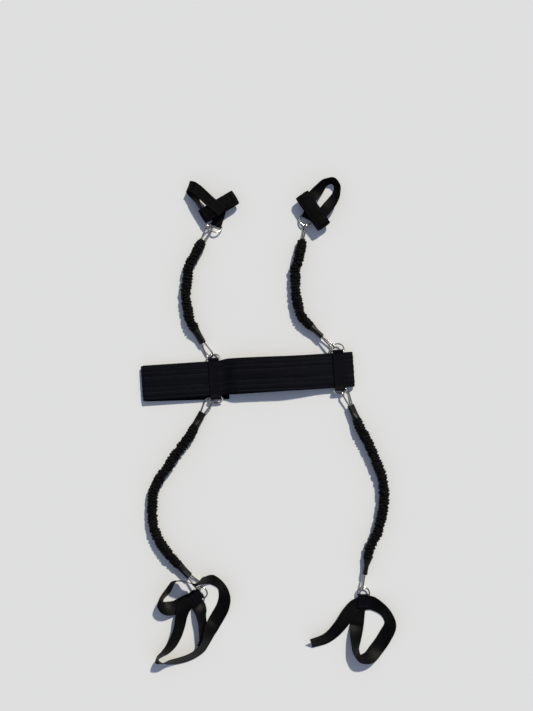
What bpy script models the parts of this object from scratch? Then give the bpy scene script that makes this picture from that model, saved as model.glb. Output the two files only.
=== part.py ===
"""Resistance band harness, laid out flat.

A padded waist belt lies as a flattened closed ring. Two webbing strips cross its front layer, and each
ends in an eye round a D-ring at both belt edges. Four elastic bands in gathered sleeves run from those
rings to two wrist cuffs above the belt and two ankle straps below it, with a snap hook at each band end.

Frame: metres, +X along the belt, +Y towards the wrist cuffs, +Z up, origin on the belt's underside
midway between the two strips.
"""

import math
from dataclasses import dataclass

import bpy
import bmesh
import numpy as np
from mathutils import Matrix, Vector

# Driving dimensions, in metres and degrees

MM = 0.001
FIT_GAP = 0.0003            # clearance between touching pieces
WELD = 0.000001             # distance under which points become one

BELT_WIDTH = 0.080
BELT_THICKNESS = 0.0044
BELT_BINDING_WIDTH = 0.007
BELT_BINDING_THICKNESS = 0.0028
BELT_EDGE_THICKNESS = 0.0038    # padding beside the binding
BELT_LEFT_END = -0.3104     # outermost face of the left fold
BELT_RIGHT_END = 0.1770     # outermost face of the right fold
BELT_FRONT_HEIGHT = 0.0143  # centre of the front layer where a strip crosses it
BELT_ARCH_HEIGHT = 0.0250   # centre of the front layer at the top of its arch
BELT_TAIL_LENGTH = 0.198
BELT_OVERLAP = 0.102        # length of the back layer that lies over the tail
TAIL_OFFSET = -0.003        # the tail's shift towards the lower edge at the left fold
TAIL_END_OFFSET = -0.010    # and at its free end
QUILT_CHANNEL_AT = 0.012    # quilted channels either side of the middle
QUILT_CHANNEL_WIDTH = 0.0024
QUILT_CHANNEL_DEPTH = 0.0007
PATCH_THICKNESS = 0.0007    # hook-and-loop patches in the overlap
PATCH_LENGTH = 0.085
PATCH_WIDTH = 0.050

STRIP_SPACING = 0.2845      # between the two strips' centres
WEBBING_WIDTH = 0.0244
WEBBING_THICKNESS = 0.0012
STRIP_OVERHANG = 0.0040     # from the belt's edge to the ring's bar
STRIP_NECK = 0.0055         # from the ring's bar to where a strip's two layers part

RING_WIRE = 0.0017          # wire radius
RING_BOW = 0.0142           # radius of the bow's centre line
RING_ARM = 0.0050           # straight part between the bar and the bow
RING_CORNER = 0.0020        # bend between the bar and the arms

HOOK_WIRE = 0.0022          # wire radius
HOOK_BOW = 0.0098           # wide end that the ring runs in
HOOK_EYE = 0.0042           # narrow end inside the sheath
HOOK_LENGTH = 0.0316        # between the centres of the bow and the eye
HOOK_PLAY = 0.0009          # room between a hook's bow and the ring in it
GATE_RADIUS = 0.0019
GATE_HINGE_AT = 0.0230      # along the hook from the bow's centre
GATE_NOSE_AT = 0.0045       # and of the gate's free end
GATE_HEEL_GAP = 0.0032      # from the hinge to the end of the hook's wire
TONGUE_THICKNESS = 0.0016
GATE_PIN_RADIUS = 0.0008
GATE_PIN_PLAY = 0.0001      # gap round the gate's pin
NOSE_SLOT_DEPTH = 0.0028
NOSE_SLOT_WIDTH = 0.0018
NOSE_WALL = 0.0010          # outer wall of the slot that stops the gate

SHEATH_LENGTH = 0.034
SHEATH_WIDTH = 0.0180
SHEATH_HEIGHT = 0.0118
SHEATH_SHOULDER = 0.0176    # diameter where the sleeve meets it
SHEATH_NECK_LENGTH = 0.008  # spigot inside the sleeve
SHEATH_NECK_RADIUS = 0.0075
SHEATH_COVERS_EYE = 0.0040  # how far its mouth reaches past the eye's centre
SHEATH_POCKET_DEPTH = 0.0123

CORE_RADIUS = 0.0050
CORE_STEP = 0.024           # between the points of the core's route
CORE_INSET = 0.0136         # from a sheath's mouth to the core's end
SLEEVE_RADIUS = 0.0130
SLEEVE_END_RADIUS = 0.0104
SLEEVE_WALL = 0.0013        # thinnest cloth between two gathers
SLEEVE_GATHER_DEPTH = 0.0024
SLEEVE_GATHER_PITCH = 0.0096
SLEEVE_TAPER = 0.030        # length over which the sleeve narrows to a sheath
SLEEVE_STRAIGHT = 0.020     # the sleeve leaves each sheath straight
SLEEVE_LIFT = 0.0004        # gap under its widest gather
SLEEVE_COVER = 0.029        # how far an arm's sleeve is drawn over the sheath at the cuff
SLEEVE_WIDENING = 0.006     # over which its bore widens before that sheath
SLEEVE_RIDGE = 0.0004       # least rise of a gather over the cloth between

PAD_LENGTH = 0.092
PAD_WIDTH = 0.034
PAD_THICKNESS = 0.0045
PAD_SPREAD = 0.0125         # between the centres of a pad's two layers
PAD_CROWN = 0.0020          # rise of the upper layer at its middle
HAND_LOOP_WIDTH = 0.025
HAND_LOOP_THICKNESS = 0.0015

ANKLE_WIDTH = 0.032
ANKLE_THICKNESS = 0.0016
STRAP_LIFT = 0.0003         # least gap between loose webbing and the ground


@dataclass
class Link:
    """How a snap hook and a D-ring lie where they meet, in degrees."""

    ring_turn: float        # direction from the bar to the bow, from +X
    ring_slope: float       # fall of the ring from its bar to its bow
    contact: float          # where the hook sits round the bow, from its middle
    hook_turn: float        # direction from the hook's bow to its eye, from +X
    hook_roll: float
    hook_shift: float       # where the ring sits round the hook's bow
    rear_height: float      # height of the sheath's axis where the sleeve starts


@dataclass
class Limb:
    """One elastic band with its two links; its route is in millimetres from the near sheath."""

    name: str
    side: int               # -1 left, +1 right
    end: int                # +1 wrist, -1 ankle
    near: Link
    far: Link
    far_bar_height: float
    cover: float            # how far the sleeve runs over the far sheath
    route: tuple


@dataclass
class Wrist:
    """One wrist cuff, in the frame of its ring's bar."""

    name: str
    limb: str
    pad_centre: tuple
    pad_turn: float
    pad_height: float       # underside of the pad
    tab_reach: float        # how far the tab runs under the pad
    loop: tuple             # x, y, z in millimetres, then turn and lean of the webbing's width


@dataclass
class Ankle:
    """One ankle strap, in the frame of its ring's bar."""

    name: str
    limb: str
    tab_reach: float
    lower_leg: float        # height of the tab's lower leg
    upper_leg: float
    strap: tuple            # x, y in millimetres, lean in degrees, height of the lower edge in millimetres


LIMBS = (
    Limb("arm_left", -1, 1,
         Link(90, 54, -46, 116, -37, -37, 0.0130), Link(-111, -26, 44, -122, -48, -64, 0.0132),
         0.0033, SLEEVE_COVER,
         ((-15, 56), (-17, 86), (-11, 116), (-5, 147), (12.6, 176.3))),
    Limb("arm_right", 1, 1,
         Link(90, 30, -59, 133, 104, 33, 0.0122), Link(-120, -11, -17, -105, 73, 36, 0.0132),
         0.0052, SLEEVE_COVER,
         ((-28, 58), (-30, 89), (-29, 114), (-25, 143), (-15, 169))),
    Limb("leg_left", -1, -1,
         Link(-90, 45, 69, -123, 22, -36, 0.0122), Link(34, -24, -78, 130, 51, -37, 0.012),
         0.0100, 0.0,
         ((-28, -39), (-50, -64), (-71, -92), (-92, -119), (-105, -144), (-110, -173), (-112, -199),
          (-110, -228), (-101, -255), (-86, -281), (-58, -317))),
    Limb("leg_right", 1, -1,
         Link(-90, 58, -57, -71, -37, -17, 0.0122), Link(86, -2, -7, 76, 84, 55, 0.012),
         0.0082, 0.0,
         ((16, -41), (28, -69), (39, -101), (49, -135), (52, -169), (50, -196), (42, -229),
          (32, -259), (4, -323))),
)

WRISTS = (
    Wrist("wrist_left", "arm_left", (-0.0060, 0.0400), 48, 0.0068, 0.042,
          ((6, 30, 26.9, -113, 0), (-12, 38, 26.9, -114, 0), (-30, 45.5, 26.9, -114, 0),
           (-47, 54, 26.2, -111, 0), (-62, 61, 25.6, -104, 0), (-75, 65, 25.0, -92, 0),
           (-86, 64, 14.0, -92, 0), (-78.5, 59, 4.0, -105, 8), (-69, 49.5, 8.0, -125, 35),
           (-59.5, 40, 11.4, -134, 58), (-51.5, 32, 12.6, -134, 72), (-43.6, 24.3, 12.7, -134, 74))),
    Wrist("wrist_right", "arm_right", (0.006, 0.0185), -29, 0.0099, 0.028,
          ((-19, 18, 21.3, 163, 0), (-13, 36, 21.3, 162, 0), (-8, 52, 20.9, 164, 1),
           (-3, 70, 17.0, 166, 30), (4, 91, 12.0, 158, 55), (17, 101, 11.6, 90, 60),
           (30, 95, 11.6, 30, 60), (36, 79, 13.2, 5, 48), (36, 58, 18.0, -8, 20),
           (32, 38, 21.0, -15, 0), (28, 22, 21.3, -17, 0), (23, 6, 21.3, -17, 0))),
)

ANKLES = (
    Ankle("ankle_left", "leg_left", 0.022, 0.0083, 0.0117,
          ((-97, 70, 50, 0.3), (-90, 58, 51, 0.3), (-79, 50, 54, 0.3), (-67, 42.5, 57, 0.3),
           (-55, 35, 58, 0.3), (-41, 28, 50, 0.3), (-27, 22, 26, 0.2), (-13, 22, 4, 0.1),
           (0, 32, 0, 0.1), (4, 50, 0, 0.1), (8, 66, 6, 0.2), (15, 77, 26, 0.3), (25, 85, 52, 0.3),
           (36, 86, 70, 0.3), (44, 76, 72, 0.3), (49, 57, 64, 0.3), (58, 30, 75, 6), (47, 6, 75, 24),
           (29, -9, 75, 24), (21, -25, 56, 9), (8, -41, 35, 0.5), (-20, -49, 45, 0.3),
           (-41, -40, 32, 0.3), (-57, -22, 20, 0.3), (-67, -1, 8, 0.3), (-75, 18, -6, 0.3),
           (-84, 36, -34, 0.3), (-95, 55, -50, 0.3), (-103, 77, -50, 0.3), (-102, 100, -50, 0.3),
           (-95, 124, -50, 0.3), (-83, 148, -56, 0.3), (-70, 167, -78, 0.3), (-60, 171, -94, 0.3),
           (-56, 161, -108, 0.3), (-57, 145, -124, 0.3), (-54, 125, -134, 0.3), (-45, 104, -138, 0.3),
           (-31, 83, -140, 1.5), (-12, 61, -150, 3.5), (-1, 41, -168, 6.5), (0, 24, -180, 9.2),
           (0, 12, -180, 9.2), (0, 4.5, -180, 9.2))),
    Ankle("ankle_right", "leg_right", 0.030, 0.0045, 0.0060,
          ((119, 110, 38, 0.3), (84, 98, 30, 0.3), (47, 62, 12, 3.4), (30, 38, 3, 2.8), (16, 25, 0, 2.0),
           (0, 20, 0, 2.0), (-16, 18, 0, 2.0), (-36, 26, 28, 1.0), (-54, 43, 42, 0.3), (-62, 62, 42, 0.3),
           (-50, 95, 20, 0.3), (-31, 124, 12, 0.3), (-12, 142, 45, 0.3), (6, 143, 72, 0.3),
           (16, 127, 62, 0.3), (17, 104, 40, 0.3), (16, 86, 18, 0.3), (14, 70, 0, 0.1), (12, 50, 0, 0.1),
           (10, 28, 0, 0.1))),
)

# Dependent dimensions

HOOK_TAPER = math.asin((HOOK_BOW - HOOK_EYE) / HOOK_LENGTH)
HOOK_INNER = HOOK_BOW - (RING_WIRE + HOOK_WIRE + HOOK_PLAY)
EYE_RADIUS = RING_WIRE + FIT_GAP + WEBBING_THICKNESS / 2
SHEATH_MOUTH_AT = HOOK_LENGTH - SHEATH_COVERS_EYE
SHEATH_REAR_AT = SHEATH_MOUTH_AT + SHEATH_LENGTH
GATE_LENGTH = (GATE_HINGE_AT - GATE_NOSE_AT) / math.cos(HOOK_TAPER)
BELT_BACK_HEIGHT = BELT_THICKNESS / 2
BELT_FOLD_RADIUS = (BELT_FRONT_HEIGHT - BELT_BACK_HEIGHT) / 2
BELT_STACK = BELT_THICKNESS + 2 * PATCH_THICKNESS + 3 * FIT_GAP
STRIP_HEIGHT = (BELT_FRONT_HEIGHT + BELT_THICKNESS / 2 + FIT_GAP + WEBBING_THICKNESS
                + FIT_GAP / 2)
BAR_Y = BELT_WIDTH / 2 + STRIP_OVERHANG


# Materials


def finish(name, colour, roughness, metallic=0.0):
    """Make one Principled material."""
    material = bpy.data.materials.new(name)
    material.use_nodes = True
    shader = material.node_tree.nodes["Principled BSDF"]
    shader.inputs["Base Color"].default_value = (*colour, 1.0)
    shader.inputs["Roughness"].default_value = roughness
    shader.inputs["Metallic"].default_value = metallic
    return material


# Mesh helpers


def take_mesh(helper, name):
    """Evaluate a helper object into a mesh of its own and remove the helper."""
    bpy.context.view_layer.update()
    graph = bpy.context.evaluated_depsgraph_get()
    mesh = bpy.data.meshes.new_from_object(helper.evaluated_get(graph))
    mesh.name = name
    bpy.data.objects.remove(helper)
    return mesh


def wire_mesh(name, points, radius, closed=False):
    """Round wire along points: a curve with a bevel and filled caps."""
    curve = bpy.data.curves.new(name, "CURVE")
    curve.dimensions = "3D"
    curve.bevel_depth = radius
    curve.bevel_resolution = 2
    curve.use_fill_caps = not closed
    curve.twist_mode = "MINIMUM"
    spline = curve.splines.new("POLY")
    spline.points.add(len(points) - 1)
    for index, point in enumerate(points):
        spline.points[index].co = (*point, 1.0)
    spline.use_cyclic_u = closed
    helper = bpy.data.objects.new(name, curve)
    bpy.context.scene.collection.objects.link(helper)
    mesh = take_mesh(helper, name)
    shape = bmesh.new()
    shape.from_mesh(mesh)
    bmesh.ops.remove_doubles(shape, verts=shape.verts, dist=WELD)
    shape.to_mesh(mesh)
    shape.free()
    return mesh


def combine(mesh, other, operation):
    """Join or cut one closed mesh with another."""
    first = bpy.data.objects.new("first", mesh)
    second = bpy.data.objects.new("second", other)
    for helper in (first, second):
        bpy.context.scene.collection.objects.link(helper)
    step = first.modifiers.new("combine", "BOOLEAN")
    step.object = second
    step.operation = operation
    step.solver = "EXACT"
    result = take_mesh(first, mesh.name)
    bpy.data.objects.remove(second)
    return result


def swept_mesh(name, rings, closed=False):
    """Skin a list of equal rings of points; open ends get caps."""
    shape = bmesh.new()
    rows = [[shape.verts.new(tuple(point)) for point in ring] for ring in rings]
    count = len(rows[0])
    pairs = list(zip(rows, rows[1:]))
    if closed:
        pairs.append((rows[-1], rows[0]))
    for row, following in pairs:
        for index in range(count):
            after = (index + 1) % count
            shape.faces.new((row[index], row[after], following[after], following[index]))
    if not closed:
        shape.faces.new(tuple(reversed(rows[0])))
        shape.faces.new(tuple(rows[-1]))
    bmesh.ops.recalc_face_normals(shape, faces=shape.faces)
    if shape.calc_volume(signed=True) < 0:
        bmesh.ops.reverse_faces(shape, faces=shape.faces)
    mesh = bpy.data.meshes.new(name)
    shape.to_mesh(mesh)
    shape.free()
    return mesh


def block_mesh(name, low, high):
    """Box between two corners."""
    low, high = Vector(low), Vector(high)
    shape = bmesh.new()
    place = Matrix.Translation((low + high) / 2) @ Matrix.Diagonal((*(high - low), 1.0))
    bmesh.ops.create_cube(shape, size=1.0, matrix=place)
    mesh = bpy.data.meshes.new(name)
    shape.to_mesh(mesh)
    shape.free()
    return mesh


def pin_mesh(name, centre, radius, length, sides=10):
    """Closed cylinder along Z."""
    shape = bmesh.new()
    bmesh.ops.create_cone(shape, cap_ends=True, segments=sides, radius1=radius, radius2=radius,
                          depth=length, matrix=Matrix.Translation(centre))
    mesh = bpy.data.meshes.new(name)
    shape.to_mesh(mesh)
    shape.free()
    return mesh


def add_piece(name, mesh, material, place=None, parent=None, crease=38.0):
    """Make one named object, shaded smooth up to the crease angle."""
    if mesh.users == 0:
        mesh.materials.append(material)
        mesh.shade_smooth()
        mesh.set_sharp_from_angle(angle=math.radians(crease))
    piece = bpy.data.objects.new(name, mesh)
    bpy.context.scene.collection.objects.link(piece)
    if parent is not None:
        piece.parent = parent
        piece.matrix_parent_inverse = parent.matrix_world.inverted()
    piece.matrix_world = place if place is not None else Matrix.Identity(4)
    return piece


def add_pivot(name, place, parent=None):
    """Empty on a joint's axis that carries the pieces which move together."""
    pivot = bpy.data.objects.new(name, None)
    pivot.empty_display_size = 0.01
    bpy.context.scene.collection.objects.link(pivot)
    if parent is not None:
        pivot.parent = parent
        pivot.matrix_parent_inverse = parent.matrix_world.inverted()
    pivot.matrix_world = place
    bpy.context.view_layer.update()
    return pivot


# Routes


def chord_tangents(points):
    """Tangents of a smooth curve through points, weighted by the chords on both sides."""
    steps = np.diff(points, axis=0)
    lengths = np.linalg.norm(steps[:, :3], axis=1)[:, None]
    slopes = steps / lengths
    inner = (slopes[:-1] * lengths[1:] + slopes[1:] * lengths[:-1]) / (lengths[1:] + lengths[:-1])
    return np.vstack((slopes[:1], inner, slopes[-1:]))


def smooth_route(points, per_span, start=None, end=None):
    """Cubic spans through points; start and end fix the direction of the two straight end spans."""
    points = np.asarray(points, dtype=float)
    tangents = chord_tangents(points)
    if start is not None:
        tangents[:2] = start
    if end is not None:
        tangents[-2:] = end
    route = [points[:1]]
    t = (np.arange(1, per_span + 1) / per_span)[:, None]
    for index in range(len(points) - 1):
        first, second = points[index], points[index + 1]
        length = np.linalg.norm((second - first)[:3])
        route.append((2 * t**3 - 3 * t**2 + 1) * first + (t**3 - 2 * t**2 + t) * length * tangents[index]
                     + (3 * t**2 - 2 * t**3) * second + (t**3 - t**2) * length * tangents[index + 1])
    return np.vstack(route)


def distances_along(route):
    """Length of a route up to each of its points."""
    return np.concatenate(([0.0], np.cumsum(np.linalg.norm(np.diff(route[:, :3], axis=0), axis=1))))


def read_route(route, distances):
    """Points of a route at given distances from its start."""
    along = distances_along(route)
    return np.stack([np.interp(distances, along, column) for column in route.T], axis=1)


def arc_points(centre, radius, first, last, steps):
    """Points of an arc in a plane, angles in degrees, both ends kept."""
    angles = np.radians(np.linspace(first, last, steps + 1))
    return [(centre[0] + radius * math.cos(a), centre[1] + radius * math.sin(a)) for a in angles]


def tangent_angle(centre, radius, point, side):
    """Angle on a circle, in degrees, where the line from an outside point touches it."""
    dx, dy = point[0] - centre[0], point[1] - centre[1]
    spread = math.degrees(math.acos(radius / math.hypot(dx, dy)))
    return math.degrees(math.atan2(dy, dx)) + side * spread


# Webbing


def ribbon_mesh(name, stations, width, thickness, closed=False):
    """Flat webbing; a station is a point followed by the direction of its width."""
    points, across = stations[:, :3], stations[:, 3:]
    if closed:
        ahead = np.roll(points, -1, axis=0) - np.roll(points, 1, axis=0)
    else:
        ahead = np.gradient(points, axis=0)
    ahead = ahead / np.linalg.norm(ahead, axis=1)[:, None]
    across = across - (across * ahead).sum(axis=1)[:, None] * ahead
    across = across / np.linalg.norm(across, axis=1)[:, None]
    up = np.cross(ahead, across)
    corners = ((-1, -1), (1, -1), (1, 1), (-1, 1))
    rings = [[point + width / 2 * a * wide + thickness / 2 * b * rise for a, b in corners]
             for point, wide, rise in zip(points, across, up)]
    return swept_mesh(name, rings, closed)


def clear_ground(stations, width, thickness):
    """Lift the stations whose lowest edge would lie under the ground."""
    tilt = np.clip(np.abs(stations[:, 5]), 0.0, 1.0)
    lowest = stations[:, 2] - width / 2 * tilt - thickness / 2 * np.sqrt(1 - tilt * tilt)
    stations[:, 2] += np.maximum(0.0, STRAP_LIFT - lowest)
    return stations


def free_stations(controls, width, thickness, per_span):
    """Stations through controls of x, y, z in millimetres, turn and lean of the width in degrees."""
    rows = []
    for x, y, z, turn, lean in controls:
        turn, lean = math.radians(turn), math.radians(lean)
        rows.append((x * MM, y * MM, z * MM, math.cos(lean) * math.cos(turn),
                     math.cos(lean) * math.sin(turn), math.sin(lean)))
    return clear_ground(smooth_route(rows, per_span), width, thickness)


def laid_stations(controls, width, thickness, per_span):
    """Stations of a strap lying on the ground; a lean raises its left edge, a negative one its right."""
    flat = np.array([(x * MM, y * MM, 0.0) for x, y, lean, lift in controls])
    ahead = chord_tangents(flat)
    rows = []
    for (x, y, lean, lift), (dx, dy, dz) in zip(controls, ahead):
        lean, scale = math.radians(lean), math.hypot(dx, dy)
        height = lift * MM + width / 2 * abs(math.sin(lean)) + thickness / 2 * abs(math.cos(lean))
        rows.append((x * MM, y * MM, height, -dy / scale * math.cos(lean),
                     dx / scale * math.cos(lean), math.sin(lean)))
    return clear_ground(smooth_route(rows, per_span), width, thickness)


def folded_stations(profile):
    """Stations of webbing that runs in the YZ plane with its width along X."""
    return np.array([(0.0, y, z, 1.0, 0.0, 0.0) for y, z in profile])


def strip_profile():
    """Closed outline of a strip: two layers with an eye at either end, from its own centre."""
    half = (WEBBING_THICKNESS + FIT_GAP) / 2
    neck = BAR_Y - STRIP_NECK
    touch = tangent_angle((BAR_Y, 0.0), EYE_RADIUS, (neck, half), -1)
    right = [(0.0, half), (neck / 2, half), (neck, half)]
    right += arc_points((BAR_Y, 0.0), EYE_RADIUS, touch, -touch, 8)
    right += [(neck, -half), (neck / 2, -half)]
    return right + [(-y, -z) for y, z in right]


def tab_profile(bar_height, reach, lower, upper):
    """Outline of a tab: upper leg, eye round the bar, lower leg."""
    root = 3.1 * EYE_RADIUS
    centre = (0.0, bar_height)
    first = tangent_angle(centre, EYE_RADIUS, (root, upper), 1)
    last = 360.0 + tangent_angle(centre, EYE_RADIUS, (root, lower), -1)
    return [(reach, upper), (root, upper)] + arc_points(centre, EYE_RADIUS, first, last, 7) \
        + [(root, lower), (reach, lower)]


# Hardware


def ring_mesh():
    """D-ring with its bar on X through the origin and its bow towards +Y."""
    inner = RING_BOW - RING_CORNER
    points = arc_points((inner, RING_CORNER), RING_CORNER, -90, 0, 2)
    points += arc_points((0.0, RING_ARM), RING_BOW, 0, 180, 10)
    points += arc_points((-inner, RING_CORNER), RING_CORNER, 180, 270, 2)
    return wire_mesh("ring", [(x, y, 0.0) for x, y in points], RING_WIRE, closed=True)


def gate_line(distance, outward=0.0):
    """Point on the hook's right side, measured down from the gate's hinge."""
    slant = (GATE_HINGE_AT - HOOK_BOW * math.sin(HOOK_TAPER)) / math.cos(HOOK_TAPER) - distance
    radius = HOOK_BOW + outward
    return (radius * math.cos(HOOK_TAPER) - slant * math.sin(HOOK_TAPER),
            radius * math.sin(HOOK_TAPER) + slant * math.cos(HOOK_TAPER))


def side_frame():
    """Frame at the gate's hinge, +Y along the hook's right side towards the eye."""
    return Matrix.Translation((*gate_line(0.0), 0.0)) @ Matrix.Rotation(HOOK_TAPER, 4, "Z")


def hook_mesh():
    """Pear-shaped wire hook: bow round the origin, eye towards +Y, gate on the +X side."""
    taper = math.degrees(HOOK_TAPER)
    heel_gap = GATE_HEEL_GAP / math.cos(HOOK_TAPER)
    points = [gate_line(-heel_gap)]
    points += arc_points((0.0, HOOK_LENGTH), HOOK_EYE, taper, 180 - taper, 5)
    points += arc_points((0.0, 0.0), HOOK_BOW, 180 - taper, 360 + taper, 9)
    points += [gate_line(GATE_LENGTH)]
    wire = wire_mesh("hook", [(x, y, 0.0) for x, y in points], HOOK_WIRE)
    frame = side_frame()
    outline = arc_points((0.0, 0.0), GATE_RADIUS, 180, 360, 6)
    outline += [(GATE_RADIUS, heel_gap + HOOK_WIRE / 2), (-GATE_RADIUS, heel_gap + HOOK_WIRE / 2)]
    tongue = swept_mesh("tongue", [[frame @ Vector((x, y, z)) for x, y in outline]
                                   for z in (-TONGUE_THICKNESS / 2, TONGUE_THICKNESS / 2)])
    hinge = pin_mesh("hinge", (*gate_line(0.0), 0.0), GATE_PIN_RADIUS + GATE_PIN_PLAY, 0.006, 8)
    slot = block_mesh("slot", (-0.003, -GATE_LENGTH - NOSE_SLOT_DEPTH, -NOSE_SLOT_WIDTH / 2),
                      (HOOK_WIRE - NOSE_WALL, -GATE_LENGTH + 0.001, NOSE_SLOT_WIDTH / 2))
    slot.transform(frame)
    body = combine(wire, tongue, "UNION")
    body = combine(body, hinge, "DIFFERENCE")
    return combine(body, slot, "DIFFERENCE")


def gate_mesh():
    """Straight gate, its hinge at the origin and its nose towards -Y."""
    top, nose = GATE_RADIUS, -GATE_LENGTH + FIT_GAP
    bar = wire_mesh("gate", [(0.0, top, 0.0), (0.0, nose, 0.0)], GATE_RADIUS)
    play = TONGUE_THICKNESS / 2 + FIT_GAP
    slot = block_mesh("slot", (-0.003, -GATE_RADIUS - 0.0005, -play), (0.003, 0.004, play))
    pin = pin_mesh("pin", (0.0, 0.0, 0.0), GATE_PIN_RADIUS, 0.0030, 8)
    nib_half = NOSE_SLOT_WIDTH / 2 - FIT_GAP
    nib = block_mesh("nib", (-0.0015, nose - NOSE_SLOT_DEPTH + 0.0008, -nib_half),
                     (HOOK_WIRE - NOSE_WALL - FIT_GAP, nose + 0.001, nib_half))
    body = combine(bar, slot, "DIFFERENCE")
    body = combine(body, pin, "UNION")
    return combine(body, nib, "UNION")


def oval(half_width, half_height, along, power=2.0, sides=10):
    """Ring of points round the Y axis; a higher power squares it off."""
    ring = []
    for index in range(sides):
        angle = 2 * math.pi * index / sides
        c, s = math.cos(angle), math.sin(angle)
        ring.append((half_width * math.copysign(abs(c) ** (2 / power), c), along,
                     half_height * math.copysign(abs(s) ** (2 / power), s)))
    return ring


def sheath_mesh():
    """End sheath in the hook's frame, with a slot for the hook's eye and a bore for the core."""
    mouth, rear = SHEATH_MOUTH_AT, SHEATH_REAR_AT
    wide, high, shoulder = SHEATH_WIDTH / 2, SHEATH_HEIGHT / 2, SHEATH_SHOULDER / 2
    pocket_wide = HOOK_EYE + HOOK_WIRE + SHEATH_COVERS_EYE * math.tan(HOOK_TAPER) + 2 * FIT_GAP
    pocket_high = HOOK_WIRE + 1.6 * FIT_GAP
    bore = (CORE_RADIUS + FIT_GAP) / math.cos(math.pi / 10)
    floor = mouth + SHEATH_POCKET_DEPTH
    rings = [
        oval(wide - 0.0008, high - 0.0008, mouth), oval(wide, high, mouth + 0.0010),
        oval(wide, high, mouth + 0.55 * SHEATH_LENGTH), oval(shoulder, shoulder, rear),
        oval(SHEATH_NECK_RADIUS, SHEATH_NECK_RADIUS, rear),
        oval(SHEATH_NECK_RADIUS, SHEATH_NECK_RADIUS, rear + SHEATH_NECK_LENGTH),
        oval(bore, bore, rear + SHEATH_NECK_LENGTH), oval(bore, bore, floor + 0.001),
        oval(pocket_wide, pocket_high, floor, 4.0), oval(pocket_wide, pocket_high, mouth, 4.0),
    ]
    return swept_mesh("sheath", rings, closed=True)


# Bands


def ring_frames(route, stations):
    """Frames carried along a route without twist: centre and two crosswise directions."""
    points = read_route(route, stations)
    ahead = np.gradient(points, stations, axis=0)
    ahead = ahead / np.linalg.norm(ahead, axis=1)[:, None]
    across = np.cross(ahead, (0.0, 0.0, 1.0))
    across = across / np.linalg.norm(across, axis=1)[:, None]
    return points, across, np.cross(across, ahead)


def round_rings(route, stations, radii, sides=8):
    """Rings of points round a route."""
    angles = 2 * math.pi * np.arange(sides) / sides
    rings = []
    for point, across, up, radius in zip(*ring_frames(route, stations), radii):
        rings.append([point + radius * (math.cos(a) * across + math.sin(a) * up) for a in angles])
    return rings


def core_mesh(name, route, leaves, meets):
    """Elastic core from inside one sheath to inside the other, straight where they hold it."""
    depth = SHEATH_LENGTH - CORE_INSET
    straight = SHEATH_NECK_LENGTH + CORE_RADIUS
    first, last = leaves + straight, meets - straight
    count = int(round((last - first) / CORE_STEP)) + 1
    stations = np.concatenate(([leaves - depth], np.linspace(first, last, count), [meets + depth]))
    return wire_mesh(name, read_route(route, stations), CORE_RADIUS)


def sleeve_mesh(name, route, first, last, cover_start):
    """Gathered sleeve with its bore; the bore widens where it is drawn over a sheath."""
    count = int(round((last - first) / SLEEVE_GATHER_PITCH))
    stations = np.linspace(first, last, 2 * count + 1)
    order = np.arange(2 * count + 1)
    swing = 0.2 * (stations[1] - stations[0])
    stations[1:-1] += swing * np.sin(2.4 * order[1:-1])
    flat = math.cos(math.pi / 8)
    neck_bore = (SHEATH_NECK_RADIUS + FIT_GAP) / flat
    cover_bore = (SHEATH_WIDTH / 2 + FIT_GAP) / flat

    def bore(distance):
        opening = np.clip((distance - cover_start) / SLEEVE_WIDENING + 1.0, 0.0, 1.0)
        return neck_bore + (cover_bore - neck_bore) * opening

    from_end = np.minimum(stations - first, last - stations)
    swell = np.clip(from_end / SLEEVE_TAPER, 0.0, 1.0)
    swell = swell * swell * (3 - 2 * swell)
    crest = SLEEVE_END_RADIUS + (SLEEVE_RADIUS - SLEEVE_END_RADIUS) * swell
    crest = crest * (1 - 0.03 * (1 + np.sin(1.7 * order)) / 2)
    least = bore(stations) + SLEEVE_WALL
    crest = np.maximum(crest, least + SLEEVE_RIDGE)
    valley = np.maximum(crest - SLEEVE_GATHER_DEPTH * (1 - 0.25 * np.cos(3.1 * order)), least)
    radii = np.where(order % 2 == 0, crest, valley)
    outer = round_rings(route, stations, radii)
    held, joins = SHEATH_NECK_LENGTH + 2 * FIT_GAP, min(cover_start, last)
    inner = np.concatenate(([first], np.linspace(first + held, joins - held, 9),
                            [cover_start - SLEEVE_WIDENING, cover_start, last]))
    inner = np.unique(np.clip(inner, first, last))
    bores = round_rings(route, inner, bore(inner))
    return swept_mesh(name, outer + bores[::-1], closed=True)


# Belt


def belt_profile():
    """Section of the belt: distance across its width and offset towards its outer face."""
    half, binding = BELT_WIDTH / 2, BELT_BINDING_THICKNESS / 2
    inner_edge = half - BELT_BINDING_WIDTH
    edge, lane = BELT_EDGE_THICKNESS / 2, BELT_THICKNESS / 2
    step = 0.0006
    channel = QUILT_CHANNEL_WIDTH / 2
    side = [(half, binding), (inner_edge, binding), (inner_edge - step, edge),
            (QUILT_CHANNEL_AT + channel, lane), (QUILT_CHANNEL_AT, lane - QUILT_CHANNEL_DEPTH),
            (QUILT_CHANNEL_AT - channel, lane)]
    outer = [(-w, n) for w, n in side] + side[::-1]
    inner = [(half, -binding), (inner_edge, -binding), (inner_edge - step, -edge),
             (QUILT_CHANNEL_AT, -lane)]
    return outer + inner + [(-w, n) for w, n in inner[::-1]]


def rise(points, end, steps):
    """Extend a list of stations by an eased change of height."""
    (x0, z0, y0), (x1, z1, y1) = points[-1], end
    for share in np.linspace(0.0, 1.0, steps + 1)[1:]:
        lift = share * share * (3 - 2 * share)
        points.append((x0 + (x1 - x0) * share, z0 + (z1 - z0) * lift, y0 + (y1 - y0) * share))


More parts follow.
